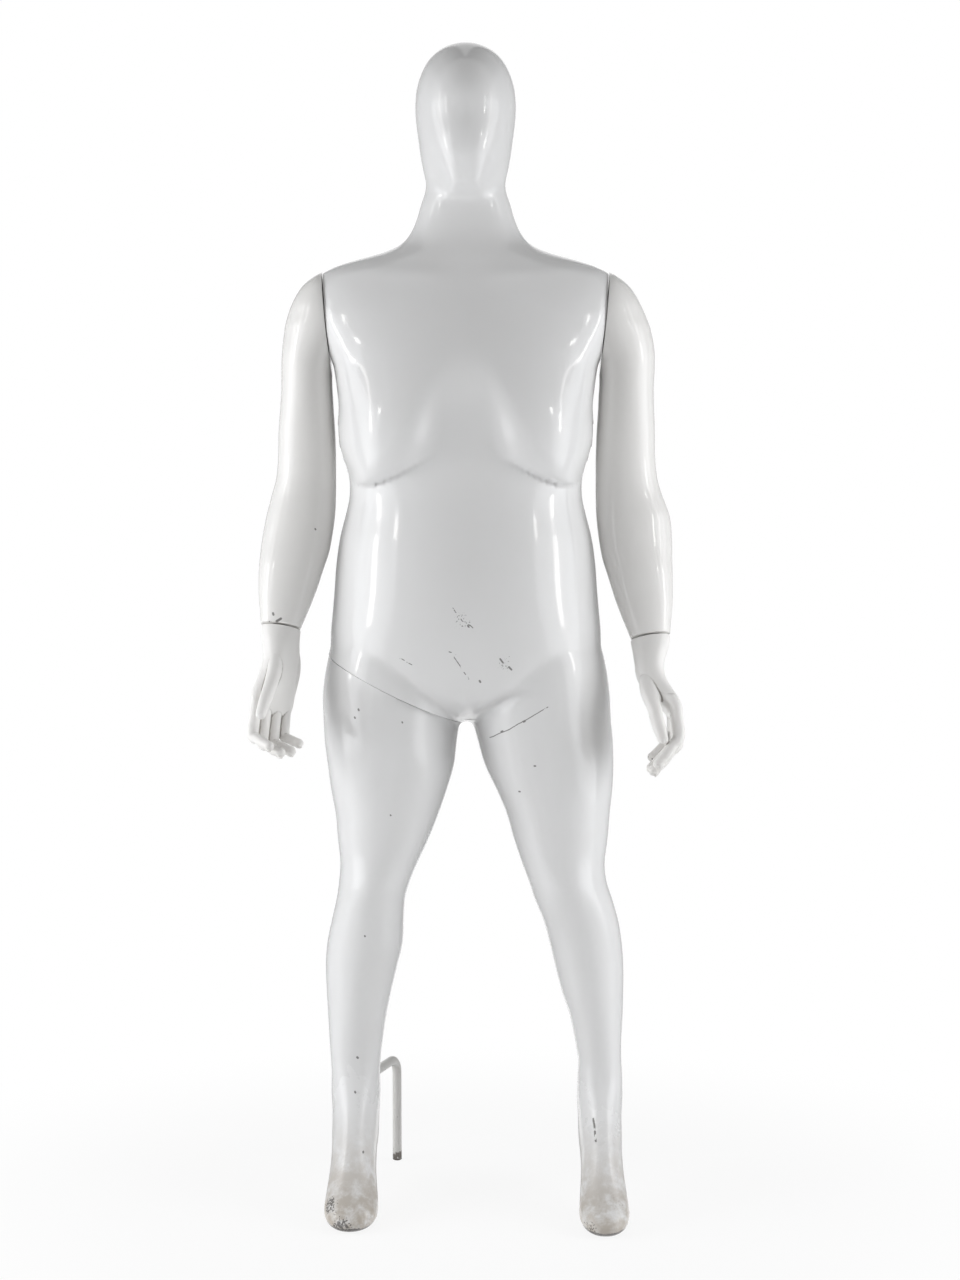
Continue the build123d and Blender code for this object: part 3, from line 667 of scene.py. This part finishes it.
def finger(spec):
    """A finger with its tip and its last bend."""
    across, down, bones, knuckle, tip, bends, splay = spec
    x, y, z = across, 2.0, -down + 16
    points = [(across - 0.16 * splay, y, z, knuckle * 0.98)]
    lengths = (bones[0] + 16,) + bones[1:]
    travelled, total = 0.0, sum(lengths)
    for i, length in enumerate(lengths):
        bend = radians(sum(bends[:i + 1]))
        for share in (0.5, 1.0):
            step = length / 2
            y -= step * sin(bend)
            z -= step * cos(bend)
            x += splay * step / total
            travelled += step
            radius = knuckle + (tip - knuckle) * travelled / total
            swollen = 1.05 if share == 1.0 and i < 2 else 0.965
            points.append((x, y, z, radius * swollen))
    return limb(points, 0.94), points[-1], bend


def nail(centre, bend, width, length, lift, turn=0.0):
    """A thin domed plate on the back of a fingertip."""
    bm = bmesh.new()
    bmesh.ops.create_uvsphere(bm, u_segments=20, v_segments=12, radius=1.0)
    for vert in bm.verts:
        x, y, z = vert.co
        flat = Vector((x * width, y * 1.6 - 0.55 * (x * width) ** 2 / width, z * length))
        x = flat.x * cos(turn) - flat.y * sin(turn)
        y = flat.x * sin(turn) + flat.y * cos(turn)
        tipped = Vector((x, y * cos(bend) + flat.z * sin(bend), flat.z * cos(bend) - y * sin(bend)))
        vert.co = (Vector(centre[:3]) + Vector((0, cos(bend), -sin(bend))) * lift + tipped) * MM
    return bm


def rounded(way_x, way_y, half_width, half_depth, square):
    """Reach of a rounded section in one direction."""
    return (abs(way_x / half_width) ** square + abs(way_y / half_depth) ** square) ** (-1 / square)


def palm_ring(down, angle, count=72):
    """A section of the palm, easing into the section of the arm's end as it nears the wrist."""
    down, half_width, front, back, shift = through(PALM, down)
    at_wrist = 1 - ease(2, 46, down)
    points = []
    for i in range(count):
        way_x, way_y = cos(2 * pi * i / count), sin(2 * pi * i / count)
        of_palm = rounded(way_x, way_y, half_width, back if way_y > 0 else front, 2.45)
        of_arm = rounded(way_x * cos(angle) + way_y * sin(angle), way_y * cos(angle) - way_x * sin(angle),
                         *WRIST_SECTION, 2.1)
        reach = at_wrist * of_arm + (1 - at_wrist) * of_palm
        points.append(Vector((way_x * reach + shift, way_y * reach, -down)) * MM)
    return points


def hand_skin(name, side, drop, fingers, thumb, swing, stretch, turn):
    """A hand, modelled hanging straight down and then set on its wrist."""
    angle = radians(turn)
    palm = skin([palm_ring(down, angle) for down in steps(PALM[0][0], PALM[-1][0], 4)])
    parts = [palm, limb([(x, y, -down, radius) for x, y, down, radius in thumb])]
    x, y, down, radius = thumb[-1]
    nails = [nail((x, y, 2 - down), radians(4), 5.8, 7.8, radius - 0.4, radians(55))]
    for spec in fingers:
        tube, tip, bend = finger(spec)
        parts.append(tube)
        nails.append(nail(tip, bend, 5.2, 6.6, tip[3] - 0.9))
    parts.append(limb(HEEL))
    bm = blended(name + "_soft", parts, 1.3, 5)
    bm = merged([bm] + nails)
    wrist, down, across, deep = wrist_frame(side, drop)
    # lengthened, turned, swung out and set on the wrist
    for vert in bm.verts:
        x, y, z = vert.co
        z *= stretch
        x, y = x * cos(angle) + y * sin(angle), y * cos(angle) - x * sin(angle)
        x += through(swing, -z / MM)[1] * MM
        vert.co = wrist + across * x + deep * y - down * z
    bmesh.ops.recalc_face_normals(bm, faces=bm.faces)
    # the wrist cut leaves its rim as dark as the cut end: painted shade along the seam
    start = wrist + down * WRIST_GAP * MM
    cut(bm, start, down, lambda c: (c - start).dot(down) < 0, WRIST_RIM)
    return thing(name, bm)


left_hand = hand_skin("left_hand_skin", 1, LEFT_ARM_DROP, LEFT_FINGERS, LEFT_THUMB, LEFT_SWING,
                      LEFT_STRETCH, LEFT_HAND_TURN)
right_hand = hand_skin("right_hand_skin", -1, 0, RIGHT_FINGERS, RIGHT_THUMB, RIGHT_SWING,
                       RIGHT_STRETCH, RIGHT_HAND_TURN)


# ---------------- calf rod

# the bar; its run and the end of its coat are measured back from the corner of the bend
ROD = dict(radius=6.5, bend=26.0, height=175.5, x=-117.0, y=174.0, heading=21.0, run=176.0, chamfer=1.2,
           coat=1.0, bare_to=116.0)


def rod_skin(name):
    """The bent bar: bare in its socket, coated from there down to its foot."""
    heading = radians(ROD["heading"])
    way = Vector((sin(heading), cos(heading), 0))
    corner = Vector((ROD["x"], ROD["y"], ROD["height"]))
    bend, coat, run, chamfer = ROD["bend"], ROD["coat"], ROD["run"], ROD["chamfer"]
    up, fall = Vector((0, 0, 1)), Vector((0, 0, -1))
    stops = [(corner - way * run, way, -chamfer), (corner - way * (run - chamfer), way, 0)]
    stops += [(corner - way * reach, way, 0) for reach in steps(run - 8, ROD["bare_to"], 8)]
    stops += [(corner - way * reach, way, coat) for reach in steps(ROD["bare_to"] - 1, bend + 1, 8)]
    hub = corner - way * bend - Vector((0, 0, bend))
    for angle in steps(0, pi / 2, 0.07):
        stops.append((hub + (way * sin(angle) + up * cos(angle)) * bend,
                      way * cos(angle) - up * sin(angle), coat))
    stops += [(Vector((corner.x, corner.y, z)), fall, coat) for z in steps(ROD["height"] - bend - 6, 8, 6)]
    stops.append((Vector((corner.x, corner.y, chamfer)), fall, coat))
    stops.append((Vector((corner.x, corner.y, 0)), fall, -chamfer))
    side = way.cross(up).normalized()
    rings = []
    for centre, ahead, more in stops:
        over = side.cross(ahead)
        radius = ROD["radius"] + more
        rings.append([(centre + (side * cos(t) + over * sin(t)) * radius) * MM
                      for t in [2 * pi * k / 40 for k in range(40)]])
    return thing(name, skin(rings))


rod = rod_skin("calf_rod_skin")


# ---------------- nodes

def group(name, inputs, outputs):
    """A shader group. Inputs are name, kind and default; its outputs are numbers."""
    tree = bpy.data.node_groups.new(name, "ShaderNodeTree")
    for label, kind, default in inputs:
        socket = tree.interface.new_socket(name=label, in_out="INPUT", socket_type="NodeSocket" + kind)
        socket.default_value = default
    for label in outputs:
        tree.interface.new_socket(name=label, in_out="OUTPUT", socket_type="NodeSocketFloat")
    return tree, tree.nodes.new("NodeGroupInput").outputs, tree.nodes.new("NodeGroupOutput")


def fill(tree, made, inputs):
    """Sets a node's inputs to values, or joins them to sockets."""
    for key, value in inputs.items():
        if isinstance(value, bpy.types.NodeSocket):
            tree.links.new(value, made.inputs[key])
        else:
            made.inputs[key].default_value = value
    return made


def node(tree, kind, inputs=None, **settings):
    """A new node with its settings and inputs."""
    made = tree.nodes.new("ShaderNode" + kind)
    for key, value in settings.items():
        setattr(made, key, value)
    return fill(tree, made, inputs or {})


def use(tree, source, inputs):
    """The outputs of a shared group, placed in a material."""
    made = tree.nodes.new("ShaderNodeGroup")
    made.node_tree = source
    return fill(tree, made, inputs).outputs


def math(tree, operation, a, b=0.0, clamp=False):
    return node(tree, "Math", {0: a, 1: b}, operation=operation, use_clamp=clamp).outputs[0]


def times(tree, a, b):
    return math(tree, "MULTIPLY", a, b)


def plus(tree, a, b):
    return math(tree, "ADD", a, b)


def minus(tree, a, b):
    return math(tree, "SUBTRACT", a, b)


def highest(tree, masks):
    """The strongest of several masks."""
    top = masks[0]
    for mask in masks[1:]:
        top = math(tree, "MAXIMUM", top, mask)
    return top


def vector(tree, operation, a, b=(0, 0, 0)):
    made = node(tree, "VectorMath", {0: a, 1: b}, operation=operation)
    return made.outputs["Value" if operation in ("LENGTH", "DISTANCE", "DOT_PRODUCT") else "Vector"]


def part_of(tree, at, axis):
    """One coordinate of a place."""
    return node(tree, "SeparateXYZ", {0: at}).outputs[axis]


def band(tree, value, low, high, to_low=0.0, to_high=1.0):
    """A smooth step of a value between two levels."""
    return node(tree, "MapRange", {"Value": value, "From Min": low, "From Max": high,
                                   "To Min": to_low, "To Max": to_high},
                interpolation_type="SMOOTHSTEP").outputs[0]


def noise(tree, at, scale, detail=4.0, rough=0.55, distort=0.0):
    return node(tree, "TexNoise", {"Vector": at, "Scale": scale, "Detail": detail,
                                   "Roughness": rough, "Distortion": distort}).outputs["Fac"]


def stretched(tree, at, scale, rotation=(0, 0, 0)):
    """Places turned and then squeezed, so that a noise on them runs in lines."""
    return node(tree, "Mapping", {"Vector": at, "Rotation": rotation, "Scale": scale}).outputs[0]


def mix(tree, factor, a, b):
    """A colour between two. The node takes them at sockets 6 and 7 and gives one at socket 2."""
    return node(tree, "Mix", {"Factor": factor, 6: a, 7: b}, data_type="RGBA").outputs[2]


def bumped(tree, strength, distance, height):
    """A normal from a height."""
    made = node(tree, "Bump", {"Strength": strength, "Distance": distance, "Height": height})
    return made.outputs["Normal"]


# ---------------- node groups shared by the finishes

def make_scratch_group():
    """A broken hairline between two points on the front of a form."""
    tree, given, out = group("hairline_scratch", [
        ("At", "Vector", (0, 0, 0)), ("From", "Vector", (0, 0, 0)), ("To", "Vector", (0, 0, 1)),
        ("Width", "Float", 0.0006), ("Wander", "Float", 0.002), ("Broken", "Float", 0.4)], ["Mask"])
    at, width, broken = given["At"], given["Width"], given["Broken"]
    wobble = node(tree, "TexNoise", {"Vector": at, "Scale": 45.0, "Detail": 3.0}).outputs["Color"]
    wander = node(tree, "CombineXYZ", {"X": given["Wander"], "Z": given["Wander"]}).outputs[0]
    shift = vector(tree, "MULTIPLY", vector(tree, "SUBTRACT", wobble, (0.5, 0.5, 0.5)), wander)
    # seen from the front, how far a place is from the line
    flat = (1, 0, 1)
    ahead = vector(tree, "SUBTRACT", vector(tree, "ADD", at, shift), given["From"])
    ahead = vector(tree, "MULTIPLY", ahead, flat)
    line = vector(tree, "MULTIPLY", vector(tree, "SUBTRACT", given["To"], given["From"]), flat)
    share = math(tree, "DIVIDE", vector(tree, "DOT_PRODUCT", ahead, line),
                 vector(tree, "DOT_PRODUCT", line, line), clamp=True)
    nearest = node(tree, "VectorMath", {0: line, 3: share}, operation="SCALE").outputs["Vector"]
    away = vector(tree, "DISTANCE", ahead, nearest)
    near = band(tree, away, width, times(tree, width, 2.2), 1.0, 0.0)
    whole = band(tree, noise(tree, at, 160.0, 2.0), minus(tree, broken, 0.03), plus(tree, broken, 0.03))
    front = band(tree, part_of(tree, at, "Y"), 0.0, -0.03)
    fill(tree, out, {"Mask": times(tree, times(tree, near, whole), front)})
    return tree


def make_chip_group():
    """Small chips scattered inside a round patch."""
    tree, given, out = group("paint_chips", [
        ("At", "Vector", (0, 0, 0)), ("Centre", "Vector", (0, 0, 0)), ("Reach", "Float", 0.02),
        ("Grain", "Float", 260.0), ("Amount", "Float", 0.3)], ["Mask"])
    away = vector(tree, "DISTANCE", given["At"], given["Centre"])
    inside = band(tree, away, times(tree, given["Reach"], 0.3), given["Reach"], 1.0, 0.0)
    grit = noise(tree, given["At"], given["Grain"], 3.0, 0.6)
    level = minus(tree, 0.78, times(tree, given["Amount"], inside))
    chips = band(tree, grit, level, plus(tree, level, 0.02))
    fill(tree, out, {"Mask": times(tree, chips, band(tree, inside, 0.0, 0.15))})
    return tree


def make_handling_group():
    """Dust, faint rub marks and the uneven shine of an old gloss coat."""
    tree, given, out = group("handling_wear", [("At", "Vector", (0, 0, 0))], ["Rub", "Haze", "Height"])
    at = given["At"]
    turned = stretched(tree, at, (1.0, 1.0, 9.0), (0.4, 0.9, 0.3))
    crossed = stretched(tree, at, (1.0, 12.0, 1.0), (1.3, -0.5, 0.8))
    rubs = [band(tree, noise(tree, turned, 130.0, 5.0, 0.7), 0.66, 0.74),
            band(tree, noise(tree, crossed, 110.0, 5.0, 0.7), 0.67, 0.75)]
    patches = band(tree, noise(tree, at, 7.0, 3.0), 0.45, 0.7)
    ripple = times(tree, noise(tree, at, 9.0, 2.0), 0.9)
    fill(tree, out, {
        "Rub": times(tree, highest(tree, rubs), patches),
        "Haze": band(tree, noise(tree, at, 11.0, 6.0, 0.6), 0.35, 0.75),
        "Height": plus(tree, ripple, times(tree, noise(tree, at, 60.0, 2.0), 0.06))})
    return tree


def make_flag_group():
    """Dark flags that stand at both sides behind the figure, so that its gloss draws its own outline."""
    tree, given, out = group("side_flags", [("Direction", "Vector", (0, 1, 0))], ["Mask"])
    level = vector(tree, "NORMALIZE", vector(tree, "MULTIPLY", given["Direction"], (1, 1, 0)))
    beside = band(tree, math(tree, "ABSOLUTE", part_of(tree, level, "X")), 0.16, 0.30)
    behind = band(tree, part_of(tree, level, "Y"), -0.15, 0.25)
    fill(tree, out, {"Mask": times(tree, beside, behind)})
    return tree


scratch_group, chip_group, handling_group = make_scratch_group(), make_chip_group(), make_handling_group()
flag_group = make_flag_group()


# ---------------- finishes

PAINT = (0.780, 0.778, 0.776, 1)
ARM_PAINT = (0.860, 0.848, 0.828, 1)
HAZED = (0.66, 0.65, 0.63, 1)
# the next colour is the dark of the coat worn through at marks, and also of the painted contact shadow round
# the soles
BARE_AND_CONTACT_SHADOW = (0.085, 0.078, 0.072, 1)
GRIME = (0.42, 0.37, 0.31, 1)
OLD_GRIME = (0.20, 0.175, 0.15, 1)


def finish_of(name):
    """A new material with its tree, its shader and its object coordinates."""
    material = bpy.data.materials.new(name)
    material.use_nodes = True
    tree = material.node_tree
    at = tree.nodes.new("ShaderNodeTexCoord").outputs["Object"]
    return material, tree, tree.nodes["Principled BSDF"], at


def marks_on(tree, at, scratches, chips):
    """One mask of all the scratches and chips of a coat."""
    masks = []
    for x, z, to_x, to_z, width, wander, broken in scratches:
        masks.append(use(tree, scratch_group, {
            "At": at, "From": (x * MM, 0, z * MM), "To": (to_x * MM, 0, to_z * MM),
            "Width": width * MM, "Wander": wander * MM, "Broken": broken})["Mask"])
    for (x, y, z), reach, grain, amount in chips:
        masks.append(use(tree, chip_group, {
            "At": at, "Centre": (x * MM, y * MM, z * MM), "Reach": reach * MM,
            "Grain": grain, "Amount": amount})["Mask"])
    return highest(tree, masks)


def soil_and_contact_shadow(tree, at, colour, roughness, low, high, strength):
    """Dirt that clouds a coat between two heights and thins out upwards; where the dirt starts at the floor,
    also a painted contact shadow round the sole.
    """
    z = part_of(tree, at, "Z")
    cloud = noise(tree, at, 38.0, 6.0, 0.65)
    dirt = times(tree, band(tree, z, low, high, 1.0, 0.0), band(tree, cloud, 0.25, 0.62))
    colour = mix(tree, times(tree, dirt, strength), colour, GRIME)
    if low == 0.0:
        # painted contact shadow: a dark band with an uneven top round the edge of the sole, where the dirt
        # starts at the floor
        uneven = plus(tree, z, times(tree, noise(tree, at, 70.0, 4.0, 0.7), 0.012))
        colour = mix(tree, band(tree, uneven, 0.0145, 0.0165, 0.92, 0.0), colour, BARE_AND_CONTACT_SHADOW)
    dull = times(tree, band(tree, z, low, high * 2.6, 0.24, 0.0), 0.8)
    return colour, plus(tree, roughness, dull)


def gloss_paint(name, scratches, chips, soiled_and_shadowed=None, dulled=0.0, paint=PAINT):
    """White gloss coat. Marks are dark where the coat is through."""
    material, tree, shader, at = finish_of(name)
    wear = use(tree, handling_group, {"At": at})
    colour = mix(tree, times(tree, wear["Haze"], 0.06), paint, HAZED)
    roughness = plus(tree, 0.11, times(tree, wear["Haze"], 0.09))
    roughness = plus(tree, roughness, times(tree, wear["Rub"], 0.18))
    if soiled_and_shadowed:
        colour, roughness = soil_and_contact_shadow(tree, at, colour, roughness, *soiled_and_shadowed)
    if dulled:
        # handled gloss, with old grime left in the grooves, where pointiness falls under a half
        creased = node(tree, "NewGeometry").outputs["Pointiness"]
        groove = band(tree, creased, 0.475, 0.4985, 1.0, 0.0)
        colour = mix(tree, times(tree, groove, 0.75), colour, OLD_GRIME)
        roughness = plus(tree, roughness, dulled)
    marks = marks_on(tree, at, scratches, chips)
    fill(tree, shader, {
        "Base Color": mix(tree, times(tree, marks, 0.85), colour, BARE_AND_CONTACT_SHADOW),
        "Roughness": plus(tree, roughness, times(tree, marks, 0.4)),
        "Normal": bumped(tree, 0.22, 0.0012, minus(tree, wear["Height"], times(tree, marks, 0.25))),
        "IOR": 1.52,
        "Coat Weight": 0.15 if dulled else 0.6,
        "Coat Roughness": 0.04})
    return material


def rod_paint(name):
    """White enamel on the bar, chipped here and there and worn to steel at its foot."""
    material, tree, shader, at = finish_of(name)
    wear = use(tree, handling_group, {"At": at})
    grit = noise(tree, at, 150.0, 5.0, 0.65)
    at_foot = band(tree, part_of(tree, at, "Z"), 0.004, 0.030, 0.30, 0.0)
    worn = plus(tree, at_foot, minus(tree, grit, 0.5))
    flecks = band(tree, noise(tree, at, 420.0, 3.0, 0.6), 0.70, 0.72)
    bare = highest(tree, [band(tree, worn, 0.17, 0.20), times(tree, flecks, 0.8)])
    enamel = mix(tree, times(tree, wear["Haze"], 0.3), HAZED, (0.52, 0.50, 0.46, 1))
    fill(tree, shader, {
        "Base Color": mix(tree, bare, enamel, (0.27, 0.25, 0.23, 1)),
        "Metallic": times(tree, bare, 0.8),
        "Roughness": plus(tree, 0.28, times(tree, bare, 0.2)),
        "Normal": bumped(tree, 0.4, 0.0004, minus(tree, wear["Height"], bare))})
    return material


def metal(name, colour, roughness, drawn, stain=0.25):
    """Metal with the fine lines of its making and dull blotches."""
    material, tree, shader, at = finish_of(name)
    lines = noise(tree, stretched(tree, at, drawn), 300.0, 4.0, 0.6)
    blotch = band(tree, noise(tree, at, 60.0, 5.0, 0.6), 0.4, 0.75)
    dark = tuple(c * 0.55 for c in colour[:3]) + (1,)
    rough = plus(tree, roughness, times(tree, minus(tree, lines, 0.5), 0.25))
    fill(tree, shader, {
        "Base Color": mix(tree, times(tree, blotch, stain), colour, dark),
        "Roughness": plus(tree, rough, times(tree, blotch, 0.12)),
        "Normal": bumped(tree, 0.2, 0.0003, lines),
        "Metallic": 1.0})
    return material


def nylon(name):
    """Pale moulded nylon."""
    material, tree, shader, at = finish_of(name)
    cloud = noise(tree, at, 220.0, 4.0, 0.6)
    fill(tree, shader, {
        "Base Color": mix(tree, cloud, (0.74, 0.72, 0.66, 1), (0.62, 0.60, 0.54, 1)),
        "Roughness": plus(tree, 0.42, times(tree, cloud, 0.2)),
        "Normal": bumped(tree, 0.15, 0.0002, cloud)})
    return material


def laminate_and_seam_shade(name):
    """Raw resin and glass at a cut end, near black, which also paints the shade inside the open seams and, at
    the shoulders and wrists, along their eased rims.
    """
    material, tree, shader, at = finish_of(name)
    fibres = noise(tree, at, 240.0, 5.0, 0.7, 1.5)
    fill(tree, shader, {
        "Base Color": mix(tree, fibres, (0.035, 0.03, 0.026, 1), (0.11, 0.095, 0.08, 1)),
        "Roughness": plus(tree, 0.55, times(tree, fibres, 0.2)),
        "Normal": bumped(tree, 0.4, 0.0004, fibres)})
    return material


# marks in the coat. Scratches: from x and z, to x and z, width, wander, brokenness.
BODY_SCRATCHES = [
    (-20, 949, 13, 913, 0.45, 14, 0.52),
    (-14, 943, 2, 924, 0.45, 10, 0.54),
    (-4, 931, 11, 921, 0.45, 10, 0.53),
    (-19.6, 883.2, 4.2, 842.9, 0.45, 6, 0.48),
    (-24, 885, -14, 881, 0.5, 5, 0.47),
    (-96.8, 872.8, -79, 865.3, 0.45, 8, 0.5),
    (52, 874, 56, 868, 0.8, 3, 0.42),
    (65, 861, 69, 857, 0.8, 3, 0.42),
    (21.5, 840.5, 22.5, 838.5, 0.9, 1, 0),
    (37, 747.1, 123.9, 799.9, 0.45, 4, 0.34),
    (54.5, 759, 56, 760, 1, 1, 0),
    (87.5, 777.2, 89, 778, 1, 1, 0),
    (104, 709.3, 105.6, 709.3, 0.8, 1, 0),
    (81.5, 666.8, 82.8, 666.8, 0.8, 1, 0),
    (199, 148, 201, 121, 1, 3, 0.42),
]
LEG_SCRATCHES = [
    (-171.3, 233, -170.3, 231.8, 1.1, 1, 0),
    (-174.5, 180.2, -173.8, 179.2, 0.9, 1, 0),
    (-156, 436.7, -155.6, 435.7, 0.8, 1, 0),
    (-159, 101.5, -158.6, 100.5, 0.8, 1, 0),
    (-161.2, 794.5, -160.6, 793, 0.9, 1, 0),
    (-167.2, 782.2, -166.6, 781, 0.8, 1, 0),
    (-95.3, 776.2, -94.7, 775.2, 0.7, 1, 0),
    (-113.8, 632.2, -113.2, 631.4, 0.7, 1, 0),
    (-206, 40, -199, 29, 1.6, 10, 0.47),
    (-191.5, 17, -188, 12, 1.8, 6, 0.42),
    (-180, 15, -178.5, 13, 1.4, 2, 0.3),
]
ARM_SCRATCHES = [
    (-292.5, 937.2, -291.8, 935, 1, 2, 0),
    (-286.6, 925.2, -280.8, 929, 1.2, 3, 0.3),
    (-270, 912.5, -269.4, 911.5, 0.7, 1, 0),
    (-231, 1064.2, -230.2, 1063, 0.7, 1, 0),
    (287.6, 892.5, 288.4, 891.5, 0.8, 1, 0),
]
# chips: centre, reach, grain, amount
BODY_CHIPS = [
    ((-4, -155, 932), 22, 420, 0.22),
    ((60, -155, 865), 22, 420, 0.17),
    ((224, -150, 34), 26, 330, 0.29),
    ((197, -170, 8), 30, 330, 0.3),
    ((-205, -30, 1440), 7, 400, 0.3),
]
LEG_CHIPS = [
    ((-206, -140, 34), 22, 330, 0.31),
    ((-186, -165, 10), 28, 330, 0.3),
]
WRIST_CHIPS = [((-298, -80, 921), 9, 420, 0.3)]
HAND_CHIPS = [
    ((300, -100, 700), 50, 240, 0.2),
    ((-300, -120, 720), 50, 240, 0.24),
]
# dirt, in metres: height where it is full, height where it is gone, strength; dirt that starts at the floor
# also brings a painted contact shadow round the sole
LEFT_FOOT_SOIL_AND_SHADOW, RIGHT_FOOT_SOIL_AND_SHADOW, HAND_SOIL = (0.0, 0.17, 0.9), (0.0, 0.17, 1.0), (0.66, 0.80, 0.35)
HAND_DULLED = 0.16


def dress(obj, *materials):
    """Gives an object its materials, in the order of its slots."""
    obj.data.materials.clear()
    for material in materials:
        obj.data.materials.append(material)


body_paint = gloss_paint("body_gloss_white", BODY_SCRATCHES, BODY_CHIPS, LEFT_FOOT_SOIL_AND_SHADOW)
leg_paint = gloss_paint("leg_gloss_white", LEG_SCRATCHES, LEG_CHIPS, RIGHT_FOOT_SOIL_AND_SHADOW)
arm_paint = gloss_paint("arm_gloss_white", ARM_SCRATCHES, WRIST_CHIPS, paint=ARM_PAINT)
hand_paint = gloss_paint("hand_gloss_white", (), HAND_CHIPS, HAND_SOIL, HAND_DULLED, ARM_PAINT)
steel = metal("fitting_steel", (0.60, 0.59, 0.57, 1), 0.34, (1.0, 1.0, 14.0))
cut_end_and_seam_shade = laminate_and_seam_shade("cut_laminate_and_seam_shade")
zinc = metal("zinc_screws", (0.68, 0.67, 0.62, 1), 0.3, (6.0, 6.0, 6.0), 0.35)
washer_nylon = nylon("washer_nylon")

# each piece's second slot is the near-black cut end, which also paints the shade inside the open seams
for piece, paint in (
        (body, body_paint), (right_leg, leg_paint), (left_arm, arm_paint), (right_arm, arm_paint),
        (left_hand, hand_paint), (right_hand, hand_paint), (rod, rod_paint("rod_enamel"))):
    dress(piece, paint, cut_end_and_seam_shade)

for name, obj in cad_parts.items():
    if "washer" in name:
        dress(obj, washer_nylon)
    elif "screw" in name or name == "hip_dowel":
        dress(obj, zinc)
    else:
        dress(obj, steel)

for piece, rides, stands_for, finish in (
        (body, "body", "body_shell", "white_gloss_shell"),
        (right_leg, "right_leg", "right_leg_shell", "white_gloss_shell"),
        (left_arm, "left_arm", "left_arm_shell", "white_gloss_shell"),
        (right_arm, "right_arm", "right_arm_shell", "white_gloss_shell"),
        (left_hand, "left_hand", "left_hand", "white_gloss_shell"),
        (right_hand, "right_hand", "right_hand", "white_gloss_shell"),
        (rod, "calf_support", "calf_rod", "rod_paint")):
    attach(piece, rides)
    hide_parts(stands_for)


# ---------------- floor, light and camera

# how bright the dark flags are in the gloss
FLAG = 0.38


def surround(tree, direction):
    """Which rays see a plain white surround, and its colour: glossy rays see the dark flags in it."""
    ray = tree.nodes.new("ShaderNodeLightPath").outputs
    seen = highest(tree, [ray["Is Camera Ray"], ray["Is Glossy Ray"], ray["Is Transmission Ray"]])
    flagged = times(tree, use(tree, flag_group, {"Direction": direction})["Mask"], ray["Is Glossy Ray"])
    return seen, mix(tree, flagged, (1, 1, 1, 1), (FLAG, FLAG, FLAG, 1))


def make_floor():
    """A white floor that the camera sees as a white sweep, with the soft shadow kept near the feet."""
    bm = bmesh.new()
    bmesh.ops.create_grid(bm, x_segments=8, y_segments=8, size=9.0)
    bmesh.ops.translate(bm, verts=bm.verts, vec=(0, 0, -0.0005))
    floor = thing("floor", bm, smooth=False)
    material, tree, shader, at = finish_of("white_sweep")
    cloud = noise(tree, at, 3.0, 3.0)
    fill(tree, shader, {
        "Base Color": mix(tree, cloud, (0.93, 0.93, 0.93, 1), (0.90, 0.90, 0.90, 1)),
        "Roughness": 0.8,
        "Specular IOR Level": 0.0})
    from_feet = vector(tree, "SUBTRACT", at, (0.0, -0.05, 0.0))
    away = vector(tree, "LENGTH", vector(tree, "MULTIPLY", from_feet, (0.8, 1.0, 0.0)))
    plain = band(tree, away, 0.35, 0.95, 0.88, 1.0)
    seen, shade = surround(tree, at)
    white = node(tree, "Emission", {"Color": shade, "Strength": 1.0}).outputs[0]
    both = node(tree, "MixShader", {0: times(tree, plain, seen), 1: shader.outputs[0], 2: white})
    fill(tree, tree.nodes["Material Output"], {"Surface": both.outputs[0]})
    dress(floor, material)


def make_world():
    """A white surround, dimmer as a light than it looks."""
    world = bpy.data.worlds.new("studio")
    world.use_nodes = True
    scene.world = world
    tree = world.node_tree
    seen, shade = surround(tree, tree.nodes.new("ShaderNodeTexCoord").outputs["Generated"])
    fill(tree, tree.nodes["Background"], {"Color": shade, "Strength": band(tree, seen, 0.0, 1.0, 0.30, 1.0)})


def softbox(name, at, aim, size, power, tint):
    """A rectangular lamp that faces a point."""
    data = bpy.data.lights.new(name, "AREA")
    data.color = tint
    data.shape = "RECTANGLE"
    data.size, data.size_y = size
    data.energy = power
    lamp = bpy.data.objects.new(name, data)
    lamp.location = at
    lamp.rotation_euler = (Vector(aim) - Vector(at)).to_track_quat("-Z", "Y").to_euler()
    scene.collection.objects.link(lamp)
    return lamp


WARM, COOL = (1.0, 0.975, 0.95), (0.965, 0.98, 1.0)
CHEST, THIGHS = (0, -0.05, 1.25), (0, 0, 0.85)


def light_from(name, side, share):
    """The lamps of one side, as the camera sees it."""
    softbox("strip_" + name, (side * 2.15, -0.62, 1.50), CHEST, (0.20, 0.55), 1.9 * share, WARM)
    softbox("high_strip_" + name, (side * 2.15, -0.62, 2.12), CHEST, (0.12, 0.55), 0.6 * share, WARM)
    softbox("spark_" + name, (side * 1.80, -1.25, 1.95), CHEST, (0.12, 0.16), 0.5 * share, WARM)
    # three panels in one place, each narrower, shade the glow off towards its edges
    for width, power in ((1.9, 12.0), (1.35, 8.6), (0.8, 5.1)):
        softbox("glow_%s_%d" % (name, width * 10), (side * 2.25, -0.62, 0.95), THIGHS,
                (width, 2.1), power * share, COOL)
    wash = softbox("wash_" + name, (side * 2.30, -0.62, 0.95), THIGHS, (1.5, 2.1), 30.0 * share, COOL)
    wash.visible_glossy = False


def make_camera():
    """The camera, a little below chest height and tipped slightly down."""
    data = bpy.data.cameras.new("camera")
    data.lens = 57.85
    data.sensor_fit = "VERTICAL"
    data.sensor_height = 36
    camera = bpy.data.objects.new("camera", data)
    camera.location = (0.022, -3.2, 1.150)
    camera.rotation_euler = (radians(90 - 4.65), 0, 0)
    scene.collection.objects.link(camera)
    scene.camera = camera


make_floor()
light_from("left", -1, 1.0)
light_from("right", 1, 0.88)
make_world()
make_camera()
scene.view_settings.view_transform = "Standard"

bpy.context.view_layer.update()
